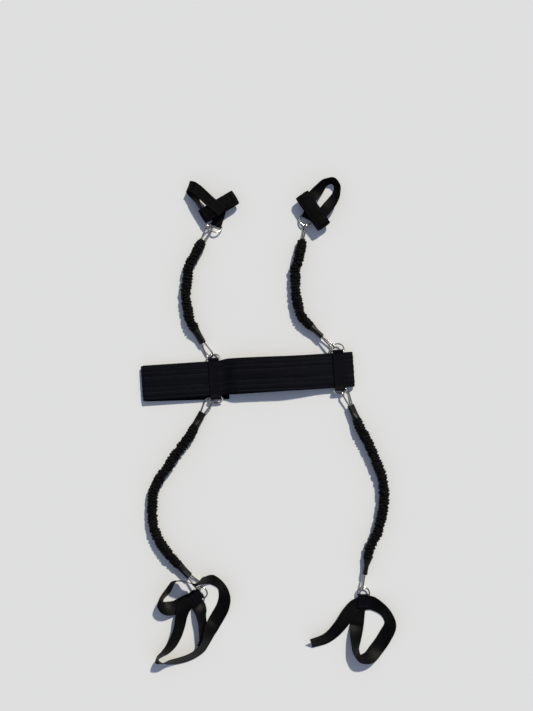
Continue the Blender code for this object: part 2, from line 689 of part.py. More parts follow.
def belt_stations():
    """Stations round the belt from the tail's free end: x, z and shift along Y."""
    low, front, arch = BELT_BACK_HEIGHT, BELT_FRONT_HEIGHT, BELT_ARCH_HEIGHT
    fold = BELT_FOLD_RADIUS
    reach = BELT_THICKNESS / 2 + fold
    left, right = BELT_LEFT_END + reach, BELT_RIGHT_END - reach
    strip = STRIP_SPACING / 2
    over = low + BELT_STACK
    tail_end = BELT_LEFT_END + BELT_TAIL_LENGTH
    middle = (low + front) / 2
    points = [(tail_end, low, TAIL_END_OFFSET)]
    rise(points, (left, low, TAIL_OFFSET), 2)
    for share, (x, z) in enumerate(arc_points((left, middle), fold, 270, 90, 5)[1:], 1):
        points.append((x, z, TAIL_OFFSET * (1 - share / 5)))
    rise(points, (-strip - 0.030, front, 0.0), 2)
    rise(points, (-strip + 0.014, front, 0.0), 1)
    rise(points, (-strip + 0.055, arch, 0.0), 5)
    rise(points, (0.005, arch, 0.0), 2)
    rise(points, (strip - 0.022, front, 0.0), 6)
    rise(points, (right, front, 0.0), 2)
    for x, z in arc_points((right, middle), fold, 90, -90, 5)[1:]:
        points.append((x, z, 0.0))
    rise(points, (0.020, low, 0.0), 1)
    rise(points, (-0.020, low, 0.0), 1)
    rise(points, (tail_end + 0.027, low, 0.0), 1)
    rise(points, (tail_end + 0.005, over, 0.0), 4)
    rise(points, (tail_end - BELT_OVERLAP, over, 0.0), 2)
    return points


def belt_mesh():
    """The whole belt as one band."""
    points = np.array([(x, y, z) for x, z, y in belt_stations()])
    ahead = np.gradient(points[:, [0, 2]], axis=0)
    ahead = ahead / np.linalg.norm(ahead, axis=1)[:, None]
    rings = []
    for (x, y, z), (dx, dz) in zip(points, ahead):
        rings.append([(x - dz * n, y + w, z + dx * n) for w, n in belt_profile()])
    return swept_mesh("belt_body", rings)


# Cuffs


def pad_mesh(name):
    """Flattened padded ring round the Y axis, its underside at height zero."""
    half, radius, low = PAD_LENGTH / 2, PAD_SPREAD / 2, PAD_THICKNESS / 2
    flat = half - radius - low
    stations = [(-flat, low), (0.0, low), (flat, low)]
    stations += arc_points((flat, low + radius), radius, -90, 90, 5)[1:]
    for share in np.linspace(1.0, -1.0, 7)[1:]:
        lift = PAD_CROWN * math.cos(share * math.pi / 2) ** 2
        stations.append((flat * share, low + PAD_SPREAD + lift))
    stations += arc_points((-flat, low + radius), radius, 90, 270, 5)[1:-1]
    edge = PAD_WIDTH / 2
    side = [(edge, 0.0), (edge - 0.0010, low * 0.72), (edge - 0.0045, low * 0.9), (edge * 0.35, low)]
    outer = side + [(-w, n) for w, n in side[::-1]]
    inner = [(-edge + 0.0010, -low * 0.72), (-edge + 0.0045, -low), (edge - 0.0045, -low),
             (edge - 0.0010, -low * 0.72)]
    section = outer + inner
    points = np.array(stations)
    ahead = np.roll(points, -1, axis=0) - np.roll(points, 1, axis=0)
    ahead = ahead / np.linalg.norm(ahead, axis=1)[:, None]
    rings = [[(x + dz * n, w, z - dx * n) for w, n in section]
             for (x, z), (dx, dz) in zip(points, ahead)]
    return swept_mesh(name, rings, closed=True)


# Placing


def lie(turn, slope, roll):
    """Axes of a piece whose +Y points along turn and falls by slope."""
    turn, slope, roll = math.radians(turn), math.radians(slope), math.radians(roll)
    along = Vector((math.cos(turn) * math.cos(slope), math.sin(turn) * math.cos(slope), -math.sin(slope)))
    level = Vector((math.sin(turn), -math.cos(turn), 0.0))
    right = level * math.cos(roll) - level.cross(along) * math.sin(roll)
    return Matrix((right, along, right.cross(along))).transposed()


def placed(axes, origin):
    """Four by four matrix of axes and an origin."""
    place = axes.to_4x4()
    place.translation = origin
    return place


@dataclass
class PlacedLink:
    """A ring and a hook in the world."""

    bar: Vector
    ring: Matrix
    contact: Vector
    hook: Matrix
    rear: Vector
    away: Vector            # from the ring towards the sleeve

    def moved(self, shift):
        """The same link carried to another place."""
        step = Matrix.Translation(shift)
        return PlacedLink(self.bar + shift, step @ self.ring, self.contact + shift, step @ self.hook,
                          self.rear + shift, self.away)


def place_link(bar, link):
    """Hang the hook in the ring so that the sheath's rear lies at its height."""
    ring = lie(link.ring_turn, link.ring_slope, 0.0)
    at, shift = math.radians(link.contact), math.radians(link.hook_shift)
    contact = bar + ring @ Vector((RING_BOW * math.sin(at), RING_ARM + RING_BOW * math.cos(at), 0.0))
    offset = Vector((-HOOK_INNER * math.sin(shift), HOOK_INNER * math.cos(shift), 0.0))
    slope = 0.0
    for _ in range(8):
        hook = lie(link.hook_turn, slope, link.hook_roll)
        rear = contact + hook @ (offset + Vector((0.0, SHEATH_REAR_AT, 0.0)))
        slope += math.degrees((rear.z - link.rear_height) / SHEATH_REAR_AT)
    return PlacedLink(bar, placed(ring, bar), contact, placed(hook, contact + hook @ offset), rear,
                      hook.col[1].copy())


def limb_links(limb):
    """Both links of a limb."""
    near = place_link(Vector((limb.side * STRIP_SPACING / 2, limb.end * BAR_Y, STRIP_HEIGHT)), limb.near)
    far = place_link(Vector((0.0, 0.0, limb.far_bar_height)), limb.far)
    x, y = limb.route[-1]
    shift = Vector((near.rear.x + x * MM - far.rear.x, near.rear.y + y * MM - far.rear.y, 0.0))
    return near, far.moved(shift)


def limb_route(limb, near, far):
    """Centre line from inside the near sheath to inside the far one, and where it leaves each."""
    height = SLEEVE_RADIUS + SLEEVE_LIFT
    inside = SHEATH_LENGTH
    middle = [(near.rear.x + x * MM, near.rear.y + y * MM, height) for x, y in limb.route[:-1]]
    points = [near.rear, near.rear + near.away * SLEEVE_STRAIGHT, *map(Vector, middle),
              far.rear + far.away * SLEEVE_STRAIGHT, far.rear]
    curve = smooth_route([tuple(point) for point in points], 16, tuple(near.away), tuple(-far.away))
    along = distances_along(curve)
    curve[:, 2] = height
    for link, distance in ((near, along), (far, along[-1] - along)):
        share = np.clip((distance - SHEATH_NECK_LENGTH) / SLEEVE_TAPER, 0.0, 1.0)
        hold = 1 - share * share * (3 - 2 * share)
        curve[:, 2] += (link.rear.z + link.away.z * distance - height) * hold
    before = tuple(near.rear - near.away * inside)
    after = tuple(far.rear - far.away * inside)
    return np.vstack((before, curve, after)), inside, inside + distances_along(curve)[-1]


def build_limb(limb, shapes, materials):
    """One elastic band with both its links; returns the far link and the ring that carries the cuff."""
    near, far = limb_links(limb)
    far_end = "wrist" if limb.end > 0 else "ankle"
    near_ring = add_piece(f"{limb.name}_belt_ring", shapes["ring"], materials["steel"], near.ring)
    swing = add_pivot(f"{limb.name}_swing", Matrix.Translation(near.contact), near_ring)
    stretch = add_pivot(f"{limb.name}_stretch", Matrix.Translation(far.contact), swing)
    turn = add_pivot(f"{limb.name}_turn", Matrix.Translation(far.contact), stretch)
    for end, link, pivot in (("belt", near, swing), (far_end, far, stretch)):
        add_piece(f"{limb.name}_{end}_hook", shapes["hook"], materials["steel"], link.hook, pivot)
        add_piece(f"{limb.name}_{end}_gate", shapes["gate"], materials["steel"],
                  link.hook @ side_frame(), pivot)
        add_piece(f"{limb.name}_{end}_sheath", shapes["sheath"], materials["sheath"], link.hook, pivot)
    far_ring = add_piece(f"{limb.name}_{far_end}_ring", shapes["ring"], materials["steel"], far.ring, turn)
    route, leaves, meets = limb_route(limb, near, far)
    core = core_mesh(f"{limb.name}_core", route, leaves, meets)
    add_piece(f"{limb.name}_core", core, materials["elastic"], parent=swing)
    last, cover_start = meets - FIT_GAP, meets + SLEEVE_WIDENING
    if limb.cover > 0.0:
        last, cover_start = meets + limb.cover, meets
    sleeve = sleeve_mesh(f"{limb.name}_sleeve", route, leaves + FIT_GAP, last, cover_start)
    add_piece(f"{limb.name}_sleeve", sleeve, materials["cloth"], parent=swing)
    return far, far_ring


def cuff_frame(far, limb):
    """Ground frame under a far ring's bar, +Y into the cuff."""
    turn = math.radians(limb.far.ring_turn + 90.0)
    return Matrix.Translation((far.bar.x, far.bar.y, 0.0)) @ Matrix.Rotation(turn, 4, "Z")


def build_belt(materials):
    """Belt, its two closure patches and the two strips that hold the rings."""
    belt = add_piece("belt_body", belt_mesh(), materials["padding"])
    tail_end = BELT_LEFT_END + BELT_TAIL_LENGTH
    middle = tail_end - BELT_OVERLAP / 2
    across = (TAIL_OFFSET + TAIL_END_OFFSET) / 2
    low = BELT_THICKNESS + FIT_GAP
    for name in ("belt_hook_patch", "belt_loop_patch"):
        corner = Vector((middle - PATCH_LENGTH / 2, across - PATCH_WIDTH / 2, low))
        size = Vector((PATCH_LENGTH, PATCH_WIDTH, PATCH_THICKNESS))
        add_piece(name, block_mesh(name, corner, corner + size), materials["closure"], parent=belt)
        low += PATCH_THICKNESS + FIT_GAP
    stations = folded_stations(strip_profile())
    for side, name in ((-1, "belt_strip_left"), (1, "belt_strip_right")):
        strip = ribbon_mesh(name, stations, WEBBING_WIDTH, WEBBING_THICKNESS, closed=True)
        place = Matrix.Translation((side * STRIP_SPACING / 2, 0.0, STRIP_HEIGHT))
        add_piece(name, strip, materials["webbing"], place, belt)


def build_wrist(wrist, far, limb, ring, materials):
    """Padded ring, keeper tab and hand loop of a wrist cuff."""
    frame = cuff_frame(far, limb)
    pad_place = frame @ Matrix.Translation((*wrist.pad_centre, wrist.pad_height)) \
        @ Matrix.Rotation(math.radians(wrist.pad_turn), 4, "Z")
    add_piece(f"{wrist.name}_pad", pad_mesh(f"{wrist.name}_pad"), materials["padding"], pad_place, ring)
    upper = wrist.pad_height - FIT_GAP - WEBBING_THICKNESS / 2
    lower = upper - WEBBING_THICKNESS - FIT_GAP
    profile = tab_profile(limb.far_bar_height, wrist.tab_reach, lower, upper)
    tab = ribbon_mesh(f"{wrist.name}_tab", folded_stations(profile), WEBBING_WIDTH, WEBBING_THICKNESS)
    add_piece(f"{wrist.name}_tab", tab, materials["webbing"], frame, ring)
    stations = free_stations(wrist.loop, HAND_LOOP_WIDTH, HAND_LOOP_THICKNESS, 4)
    loop = ribbon_mesh(f"{wrist.name}_hand_loop", stations, HAND_LOOP_WIDTH, HAND_LOOP_THICKNESS)
    add_piece(f"{wrist.name}_hand_loop", loop, materials["webbing"], frame, ring)


def build_ankle(ankle, far, limb, ring, materials):
    """Long strap and keeper tab of an ankle strap."""
    frame = cuff_frame(far, limb)
    stations = laid_stations(ankle.strap, ANKLE_WIDTH, ANKLE_THICKNESS, 3)
    strap = ribbon_mesh(f"{ankle.name}_strap", stations, ANKLE_WIDTH, ANKLE_THICKNESS)
    add_piece(f"{ankle.name}_strap", strap, materials["webbing"], frame, ring)
    profile = tab_profile(limb.far_bar_height, ankle.tab_reach, ankle.lower_leg, ankle.upper_leg)
    tab = ribbon_mesh(f"{ankle.name}_tab", folded_stations(profile), WEBBING_WIDTH, WEBBING_THICKNESS)
    add_piece(f"{ankle.name}_tab", tab, materials["webbing"], frame, ring)


def main():
    """Build every piece."""
    for item in list(bpy.data.objects):
        bpy.data.objects.remove(item)
    materials = {
        "padding": finish("padded_fabric", (0.012, 0.013, 0.018), 0.85),
        "webbing": finish("webbing_fabric", (0.010, 0.011, 0.014), 0.75),
        "cloth": finish("sleeve_fabric", (0.009, 0.010, 0.012), 0.85),
        "closure": finish("closure_fabric", (0.015, 0.015, 0.017), 0.95),
        "elastic": finish("elastic_rubber", (0.060, 0.058, 0.055), 0.60),
        "sheath": finish("sheath_plastic", (0.016, 0.017, 0.018), 0.30),
        "steel": finish("plated_steel", (0.620, 0.610, 0.590), 0.18, 1.0),
    }
    shapes = {"ring": ring_mesh(), "hook": hook_mesh(), "gate": gate_mesh(), "sheath": sheath_mesh()}
    build_belt(materials)
    cuffs = {limb.name: (*build_limb(limb, shapes, materials), limb) for limb in LIMBS}
    for wrist in WRISTS:
        far, ring, limb = cuffs[wrist.limb]
        build_wrist(wrist, far, limb, ring, materials)
    for ankle in ANKLES:
        far, ring, limb = cuffs[ankle.limb]
        build_ankle(ankle, far, limb, ring, materials)


main()
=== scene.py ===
"""Dress a resistance band harness that lies flat on a pale floor.

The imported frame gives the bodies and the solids. This script covers them, in the same places, with
quilted belt cloth, gathered sleeves, ribbed webbing, plated wire and moulded sheaths.
"""

import logging
from collections.abc import Iterator
from contextlib import contextmanager
from dataclasses import dataclass
from enum import Enum
from math import acos, asin, atan2, copysign, cos, degrees, dist, hypot, pi, radians, sin, tan

import bmesh
import bpy
import numpy as np
from mathutils import Matrix, Vector


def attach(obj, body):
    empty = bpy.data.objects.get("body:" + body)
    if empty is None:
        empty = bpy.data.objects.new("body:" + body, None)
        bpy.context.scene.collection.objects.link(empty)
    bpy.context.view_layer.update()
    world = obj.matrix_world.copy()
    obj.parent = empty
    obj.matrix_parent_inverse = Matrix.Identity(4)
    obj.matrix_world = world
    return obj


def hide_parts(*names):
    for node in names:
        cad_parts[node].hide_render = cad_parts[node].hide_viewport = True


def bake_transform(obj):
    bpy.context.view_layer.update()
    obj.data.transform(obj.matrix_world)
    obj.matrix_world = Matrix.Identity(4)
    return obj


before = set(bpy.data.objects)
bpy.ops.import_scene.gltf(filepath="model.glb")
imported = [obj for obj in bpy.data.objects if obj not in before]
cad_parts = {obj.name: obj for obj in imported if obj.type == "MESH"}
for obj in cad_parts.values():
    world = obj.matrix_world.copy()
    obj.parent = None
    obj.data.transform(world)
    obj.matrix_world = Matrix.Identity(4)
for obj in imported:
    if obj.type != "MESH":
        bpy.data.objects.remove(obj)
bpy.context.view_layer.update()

LOG = logging.getLogger("harness")
MM = 0.001
FIT_GAP = 0.0003  # clearance between touching pieces, in metres
WELD = 0.000001  # distance under which points become one
WEBBING_STEP = 0.003  # between the stations of straight webbing
EYE_STEP = 0.0012  # between those that lead into an eye
PAD_CREASE = 75.0  # degrees past which padded cloth keeps a sharp edge
WIDE = np.array((0.0, 1.0, 0.0))  # the belt and the pads are wide along Y
NOTHING = 1e-9  # keeps a division from failing
CLOTH_UV = "cloth"  # UV map in metres: across or around, then along

Colour = tuple[float, float, float]
Rows = np.ndarray  # rows of numbers, often points
Mesh = bpy.types.Mesh
Object = bpy.types.Object


# Node graphs


class Value:
    """A node's output that takes part in arithmetic as a number does."""

    def __init__(self, graph: "Graph", socket: bpy.types.NodeSocket) -> None:
        """Wrap one output socket of a graph."""
        self.graph = graph
        self.socket = socket

    def math(self, operation: str, *values: "Value | float") -> "Value":
        """Add one Math node on the given values."""
        return self.graph.node("ShaderNodeMath", {"operation": operation}, dict(enumerate(values)))

    def __add__(self, other: "Value | float") -> "Value":
        """Sum."""
        return self.math("ADD", self, other)

    __radd__ = __add__

    def __sub__(self, other: "Value | float") -> "Value":
        """Difference."""
        return self.math("SUBTRACT", self, other)

    def __rsub__(self, other: float) -> "Value":
        """Difference from a number."""
        return self.math("SUBTRACT", other, self)

    def __mul__(self, other: "Value | float") -> "Value":
        """Product."""
        return self.math("MULTIPLY", self, other)

    __rmul__ = __mul__

    def __truediv__(self, other: "Value | float") -> "Value":
        """Quotient."""
        return self.math("DIVIDE", self, other)

    def __pow__(self, other: float) -> "Value":
        """Power."""
        return self.math("POWER", self, other)

    def __abs__(self) -> "Value":
        """Size without sign."""
        return self.math("ABSOLUTE", self)

    def sine(self) -> "Value":
        """Sine of an angle in radians."""
        return self.math("SINE", self)

    def waves(self, period: float) -> "Value":
        """Rounded ridges from 0 to 1, one for each period."""
        return abs((self * (pi / period)).sine())

    def between(self, low: float, high: float) -> "Value":
        """Smooth step from 0 at low to 1 at high."""
        return self.graph.node("ShaderNodeMapRange", {"interpolation_type": "SMOOTHSTEP"},
                               {"Value": self, "From Min": low, "From Max": high})

    def output(self, name: str) -> "Value":
        """Another output of the same node."""
        return Value(self.graph, self.socket.node.outputs[name])


class Graph:
    """Builder of one node tree."""

    def __init__(self, tree: bpy.types.NodeTree) -> None:
        """Start with an empty tree."""
        self.tree = tree
        tree.nodes.clear()

    def node(self, kind: str, settings: dict | None = None, values: dict | None = None,
             output: int | str = 0) -> Value:
        """Add a node.

        Args:
            kind: The node's type.
            settings: Its properties, set before its sockets.
            values: Numbers or Values for its inputs, by name or index.
            output: The output to return.

        Returns:
            The chosen output.
        """
        node = self.tree.nodes.new(kind)
        for key, value in (settings or {}).items():
            setattr(node, key, value)
        for key, value in (values or {}).items():
            if isinstance(value, Value):
                self.tree.links.new(value.socket, node.inputs[key])
            else:
                node.inputs[key].default_value = value
        return Value(self, node.outputs[output]) if len(node.outputs) else Value(self, None)

    def vector(self, x: Value | float, y: Value | float, z: Value | float = 0.0) -> Value:
        """Vector of three parts."""
        return self.node("ShaderNodeCombineXYZ", values={"X": x, "Y": y, "Z": z})

    def parts(self, vector: Value) -> tuple[Value, Value, Value]:
        """The three parts of a vector."""
        split = self.node("ShaderNodeSeparateXYZ", values={"Vector": vector}, output="X")
        return split, split.output("Y"), split.output("Z")

    def stretched(self, vector: Value, scale: tuple) -> Value:
        """Vector with each part multiplied by a number of its own."""
        return self.node("ShaderNodeVectorMath", {"operation": "MULTIPLY"}, {0: vector, 1: scale})

    def noise(self, vector: Value, scale: float, detail: float = 2.0, roughness: float = 0.5) -> Value:
        """Noise from 0 to 1 with its middle at one half."""
        return self.node("ShaderNodeTexNoise", {"noise_dimensions": "3D"},
                         {"Vector": vector, "Scale": scale, "Detail": detail, "Roughness": roughness})

    def mix(self, factor: Value, low: "Value | Colour", high: Colour) -> Value:
        """Colour between two colours."""
        low = low if isinstance(low, Value) else (*low, 1.0)
        return self.node("ShaderNodeMix", {"data_type": "RGBA"},
                         {0: factor, 6: low, 7: (*high, 1.0)}, output=2)

    def surface(self, colour: Value, roughness: Value | float, sockets: dict) -> None:
        """End a material in one shader with these sockets."""
        shader = self.node("ShaderNodeBsdfPrincipled", values={
            "Base Color": colour, "Roughness": roughness, **sockets})
        self.node("ShaderNodeOutputMaterial", values={"Surface": shader})


# Finishes


Pattern = tuple[Value, Value, Value, float]


@dataclass(frozen=True)
class Finish:
    """Look of one surface; its patterns are in metres."""

    name: str
    slot: str
    colour: Colour
    # second colour: wear, dull spots or dust in some finishes, painted highlight on raised cloth in the
    # cloth finishes
    worn: Colour
    roughness: float

    def constants(self) -> dict[str, float]:
        """Sockets that are the same all over the surface."""
        return {"Specular IOR Level": 0.25}

    def pattern(self, graph: Graph, place: Value) -> Pattern:
        """Pattern of the surface.

        Args:
            graph: The material's graph.
            place: Object coordinates.

        Returns:
            Share of the second colour (wear, dull spots or dust, and in the cloth finishes painted highlight
            on raised ribs, creases and crinkles), roughness, height from 0 to 1, and the height's depth in
            metres.
        """
        cloud = graph.noise(place, 60.0)
        return cloud, cloud * 0.1 + self.roughness, graph.noise(place, 900.0), 0.0001

    def material(self) -> bpy.types.Material:
        """The finish as a material, made once.

        Returns:
            The new material, or the one made before.
        """
        if self.name in bpy.data.materials:
            return bpy.data.materials[self.name]
        made = bpy.data.materials.new(self.name)
        made.use_nodes = True
        graph = Graph(made.node_tree)
        place = graph.node("ShaderNodeTexCoord", output="Object")
        share, rough, height, depth = self.pattern(graph, place)
        bump = graph.node("ShaderNodeBump", values={"Height": height, "Distance": depth, "Strength": 1.0})
        graph.surface(graph.mix(share, self.colour, self.worn), rough,
                      {"Normal": bump, **self.constants()})
        return made

    def on_cloth(self, graph: Graph) -> tuple[Value, Value]:
        """Distances across and along the cloth, in metres."""
        across, along, _ = graph.parts(graph.node("ShaderNodeUVMap", {"uv_map": CLOTH_UV}))
        return across, along


@dataclass(frozen=True)
class Cloth(Finish):
    """Any woven surface, with little shine and a trace of sheen."""

    gloss: float = 0.07
    sheen_roughness: float = 0.45

    def constants(self) -> dict[str, float]:
        """Shine and sheen of the thread."""
        return {"Specular IOR Level": self.gloss, "Sheen Weight": 0.01,
                "Sheen Roughness": self.sheen_roughness}


@dataclass(frozen=True)
class Webbing(Cloth):
    """Ribbed narrow webbing with rows of weft and a firmer, fuzzed selvedge."""

    gloss: float = 0.075
    sheen_roughness: float = 0.5
    half_width: float = 0.0122
    rib: float = 0.00125
    thread: float = 0.0011
    wander: float = 0.0004  # how far a rib strays from its line

    def pattern(self, graph: Graph, place: Value) -> Pattern:
        """Ribs across the webbing, crossed by warp threads; see the base class."""
        across, along = self.on_cloth(graph)
        wobble = graph.noise(place, 320.0) - 0.5
        ribs = (along + wobble * self.wander).waves(self.rib) ** 0.7
        threads = across.waves(self.thread) ** 0.5
        selvedge = (abs(across) / self.half_width).between(0.84, 0.97)
        fuzz = graph.noise(place, 2600.0, 3.0)
        height = ribs * 0.55 + threads * 0.25 * (1.0 - selvedge) + fuzz * 0.2 + selvedge * 0.1
        patch = graph.noise(place, 35.0, 4.0)
        # The rib tops are painted lighter, a painted highlight; fuzz, selvedge and patches lighten it too.
        share = ribs * 0.25 + fuzz * 0.35 + selvedge * 0.25 + patch * 0.35 - 0.25
        return share, patch * 0.16 + self.roughness, height, 0.00016


@dataclass(frozen=True)
class BeltCloth(Cloth):
    """Closely woven face cloth over foam, with creases and a dusty bloom."""

    twill: float = 0.0009

    def pattern(self, graph: Graph, place: Value) -> Pattern:
        """Fine twill with long creases along the belt; see the base class."""
        across, along = self.on_cloth(graph)
        twill = (across + along * 0.8).waves(self.twill) ** 0.6
        creases = graph.noise(graph.vector(across * 170.0, along * 9.0, 0.4), 1.0, 4.0, 0.6)
        fuzz = graph.noise(place, 1900.0, 3.0)
        bloom = graph.noise(place, 14.0, 5.0, 0.6)
        height = twill * 0.22 + fuzz * 0.13 + creases * 0.65
        # The raised creases are painted lighter, a painted highlight along them; the bloom and fuzz lighten
        # it too.
        share = creases.between(0.40, 0.75) * 0.45 + bloom.between(0.35, 0.75) * 0.35 + fuzz * 0.2
        return share, bloom * 0.14 + creases * 0.08 + self.roughness, height, 0.0005


@dataclass(frozen=True)
class SleeveCloth(Cloth):
    """Thin cloth gathered on the band, with crinkles running along it."""

    gloss: float = 0.09
    sheen_roughness: float = 0.6
    weave: float = 0.0008

    def pattern(self, graph: Graph, place: Value) -> Pattern:
        """Crinkles between the gathers over a plain weave; see the base class."""
        across, along = self.on_cloth(graph)
        crinkle = graph.noise(graph.vector(across * 700.0, along * 120.0, 0.7), 1.0, 3.0, 0.55)
        weave = across.waves(self.weave) * along.waves(self.weave)
        fuzz = graph.noise(place, 2300.0, 3.0)
        patch = graph.noise(place, 45.0, 4.0)
        height = crinkle * 0.7 + weave * 0.15 + fuzz * 0.15
        # The raised crinkles are painted lighter, a painted highlight on them; fuzz and patches lighten it
        # too.
        share = crinkle.between(0.45, 0.8) * 0.5 + fuzz * 0.25 + patch.between(0.45, 0.8) * 0.25
        return share, patch * 0.12 + self.roughness, height, 0.0008


@dataclass(frozen=True)
class PlatedWire(Finish):
    """Bright nickel plate with drawing marks, dull spots and fine scratches."""

    def constants(self) -> dict[str, float]:
        """Full metal."""
        return {"Metallic": 1.0}

    def pattern(self, graph: Graph, place: Value) -> Pattern:
        """Dull spots over fine scratches; see the base class."""
        spots = graph.noise(place, 420.0, 4.0, 0.65)
        marks = graph.noise(graph.stretched(place, (900.0, 2600.0, 1700.0)), 1.0, 2.0)
        dull = spots.between(0.52, 0.78)
        return dull * 0.7, dull * 0.16 + marks * 0.08 + self.roughness, marks * 0.4 + spots * 0.6, 0.00004


@dataclass(frozen=True)
class Moulding(Finish):
    """Semi-gloss black plastic with a faint grain, scuffed on its high spots."""

    def constants(self) -> dict[str, float]:
        """Gloss of polished moulds."""
        return {"Specular IOR Level": 0.34, "Coat Weight": 0.03, "Coat Roughness": 0.32}

    def pattern(self, graph: Graph, place: Value) -> Pattern:
        """Orange-peel grain and scuffs; see the base class."""
        grain = graph.noise(place, 1500.0, 2.0)
        scuff = graph.noise(graph.stretched(place, (300.0, 120.0, 700.0)), 1.0, 5.0, 0.7)
        worn = scuff.between(0.58, 0.74)
        return worn, worn * 0.22 + grain * 0.06 + self.roughness, grain * 0.6 + scuff * 0.4, 0.00006


@dataclass(frozen=True)
class Pile(Finish):
    """Hook-and-loop pile."""

    across_pitch: float = 0.0016
    along_pitch: float = 0.0013

    def pattern(self, graph: Graph, place: Value) -> Pattern:
        """Rows of loops; see the base class."""
        across, along = self.on_cloth(graph)
        rows = across.waves(self.across_pitch) * along.waves(self.along_pitch)
        fuzz = graph.noise(place, 3000.0, 4.0)
        return fuzz * 0.6 + rows * 0.3, fuzz * 0.1 + self.roughness, rows * 0.6 + fuzz * 0.4, 0.0005


class Finishes(Enum):
    """Every finish on the harness."""

    BELT = BeltCloth("belt_face_cloth", "padding", (0.0010, 0.0012, 0.0031), (0.0044, 0.0050, 0.0102), 0.56)
    BINDING = BeltCloth("belt_binding_cloth", "padding", (0.0009, 0.0010, 0.0025),
                        (0.0035, 0.0039, 0.0078), 0.60, twill=0.0012)
    PAD = BeltCloth("cuff_pad_cloth", "padding", (0.0006, 0.0007, 0.0013), (0.0028, 0.0029, 0.0042), 0.60,
                    twill=0.0010)
    STRIP = Webbing("belt_strip_webbing", "webbing", (0.0009, 0.0010, 0.0027), (0.0037, 0.0041, 0.0086),
                    0.50)
    HAND = Webbing("hand_loop_webbing", "webbing", (0.0004, 0.0004, 0.0008), (0.0030, 0.0031, 0.0042), 0.50,
                   half_width=0.0125, rib=0.0021, thread=0.0016)
    ANKLE = Webbing("ankle_strap_webbing", "webbing", (0.0004, 0.0005, 0.0009), (0.0028, 0.0030, 0.0042),
                    0.42, gloss=0.13, half_width=0.0160)
    SLEEVE = SleeveCloth("gathered_sleeve_cloth", "sleeve", (0.0005, 0.0005, 0.0009),
                         (0.0034, 0.0035, 0.0044), 0.56)
    PLATE = PlatedWire("plated_wire", "steel", (0.64, 0.625, 0.60), (0.38, 0.37, 0.355), 0.15)
    SHEATH = Moulding("sheath_moulding", "sheath", (0.0016, 0.0017, 0.0022), (0.011, 0.0112, 0.0122), 0.46)
    PILE = Pile("closure_pile", "closure", (0.003, 0.003, 0.0035), (0.010, 0.010, 0.012), 0.90)
    ELASTIC = Finish("elastic_core_rubber", "elastic", (0.040, 0.038, 0.036), (0.070, 0.067, 0.063), 0.60)
    THREAD = Finish("sewing_thread", "webbing", (0.0020, 0.0021, 0.0032), (0.0080, 0.0082, 0.0105), 0.42)
    # Quilting thread, coloured lighter than the sewing thread to paint the highlight along the quilted
    # ridges.
    QUILT_THREAD_HIGHLIGHT = Finish("quilting_thread_painted_highlight", "webbing", (0.0140, 0.0146, 0.0190), (0.0300, 0.0310, 0.0380),
                          0.40)


# Curves and meshes


def eased(share: Rows | float) -> Rows | float:
    """Share from 0 to 1 that leaves and arrives gently."""
    return share * share * (3 - 2 * share)


def ramp(value: Rows | float, start: float, length: float) -> Rows | float:
    """Share that goes from 0 at start to 1 a length further on, or further back if it's negative."""
    return np.clip((value - start) / length, 0.0, 1.0)


def unit(rows: Rows) -> Rows:
    """Rows scaled to length one."""
    return rows / np.linalg.norm(rows, axis=-1)[..., None]


def round_angles(sides: int) -> Rows:
    """Even angles of a full turn, in radians."""
    return 2 * pi * np.arange(sides) / sides


def turned_frame(origin: tuple, turn: float) -> Matrix:
    """Frame at a point, turned round Z by an angle in degrees."""
    return Matrix.Translation(origin) @ Matrix.Rotation(radians(turn), 4, "Z")


def chord_tangents(points: Rows) -> Rows:
    """Tangents of a smooth curve through points, weighted by the chords on both sides.

    Args:
        points: Rows of numbers, the first three a place.

    Returns:
        The rows' slopes for each metre of way.
    """
    steps = np.diff(points, axis=0)
    lengths = np.linalg.norm(steps[:, :3], axis=1)[:, None]
    slopes = steps / lengths
    inner = (slopes[:-1] * lengths[1:] + slopes[1:] * lengths[:-1]) / (lengths[1:] + lengths[:-1])
    return np.vstack((slopes[:1], inner, slopes[-1:]))


def smooth_route(points: list, per_span: int, start: tuple | None = None,
                 end: tuple | None = None) -> Rows:
    """Cubic spans through points.

    Args:
        points: Rows of numbers, the first three a place in metres.
        per_span: Steps in each span.
        start: Direction of the straight first span.
        end: Direction of the straight last span.

    Returns:
        The rows along the curve.
    """
    points = np.asarray(points, dtype=float)
    tangents = chord_tangents(points)
    if start is not None:
        tangents[:2] = start
    if end is not None:
        tangents[-2:] = end
    route = [points[:1]]
    t = (np.arange(1, per_span + 1) / per_span)[:, None]
    for first, second, leave, arrive in zip(points[:-1], points[1:], tangents[:-1], tangents[1:]):
        length = np.linalg.norm((second - first)[:3])
        route.append((2 * t**3 - 3 * t**2 + 1) * first + (t**3 - 2 * t**2 + t) * length * leave
                     + (3 * t**2 - 2 * t**3) * second + (t**3 - t**2) * length * arrive)
    return np.vstack(route)


def distances_along(route: Rows) -> Rows:
    """Length of a route up to each of its points."""
    return np.concatenate(([0.0], np.cumsum(np.linalg.norm(np.diff(route[:, :3], axis=0), axis=1))))


def read_rows(rows: Rows, base: Rows, at: Rows) -> Rows:
    """Rows of numbers, known at the distances base, read at other distances."""
    return np.stack([np.interp(at, base, column) for column in rows.T], axis=1)


def read_route(route: Rows, distances: Rows) -> Rows:
    """Rows of a route at given distances from its start."""
    return read_rows(route, distances_along(route), distances)


def arc_points(centre: tuple, radius: float, first: float, last: float, steps: int) -> list:
    """Points of an arc in a plane, angles in degrees, both ends kept."""
    angles = np.radians(np.linspace(first, last, steps + 1))
    return [(centre[0] + radius * cos(a), centre[1] + radius * sin(a)) for a in angles]


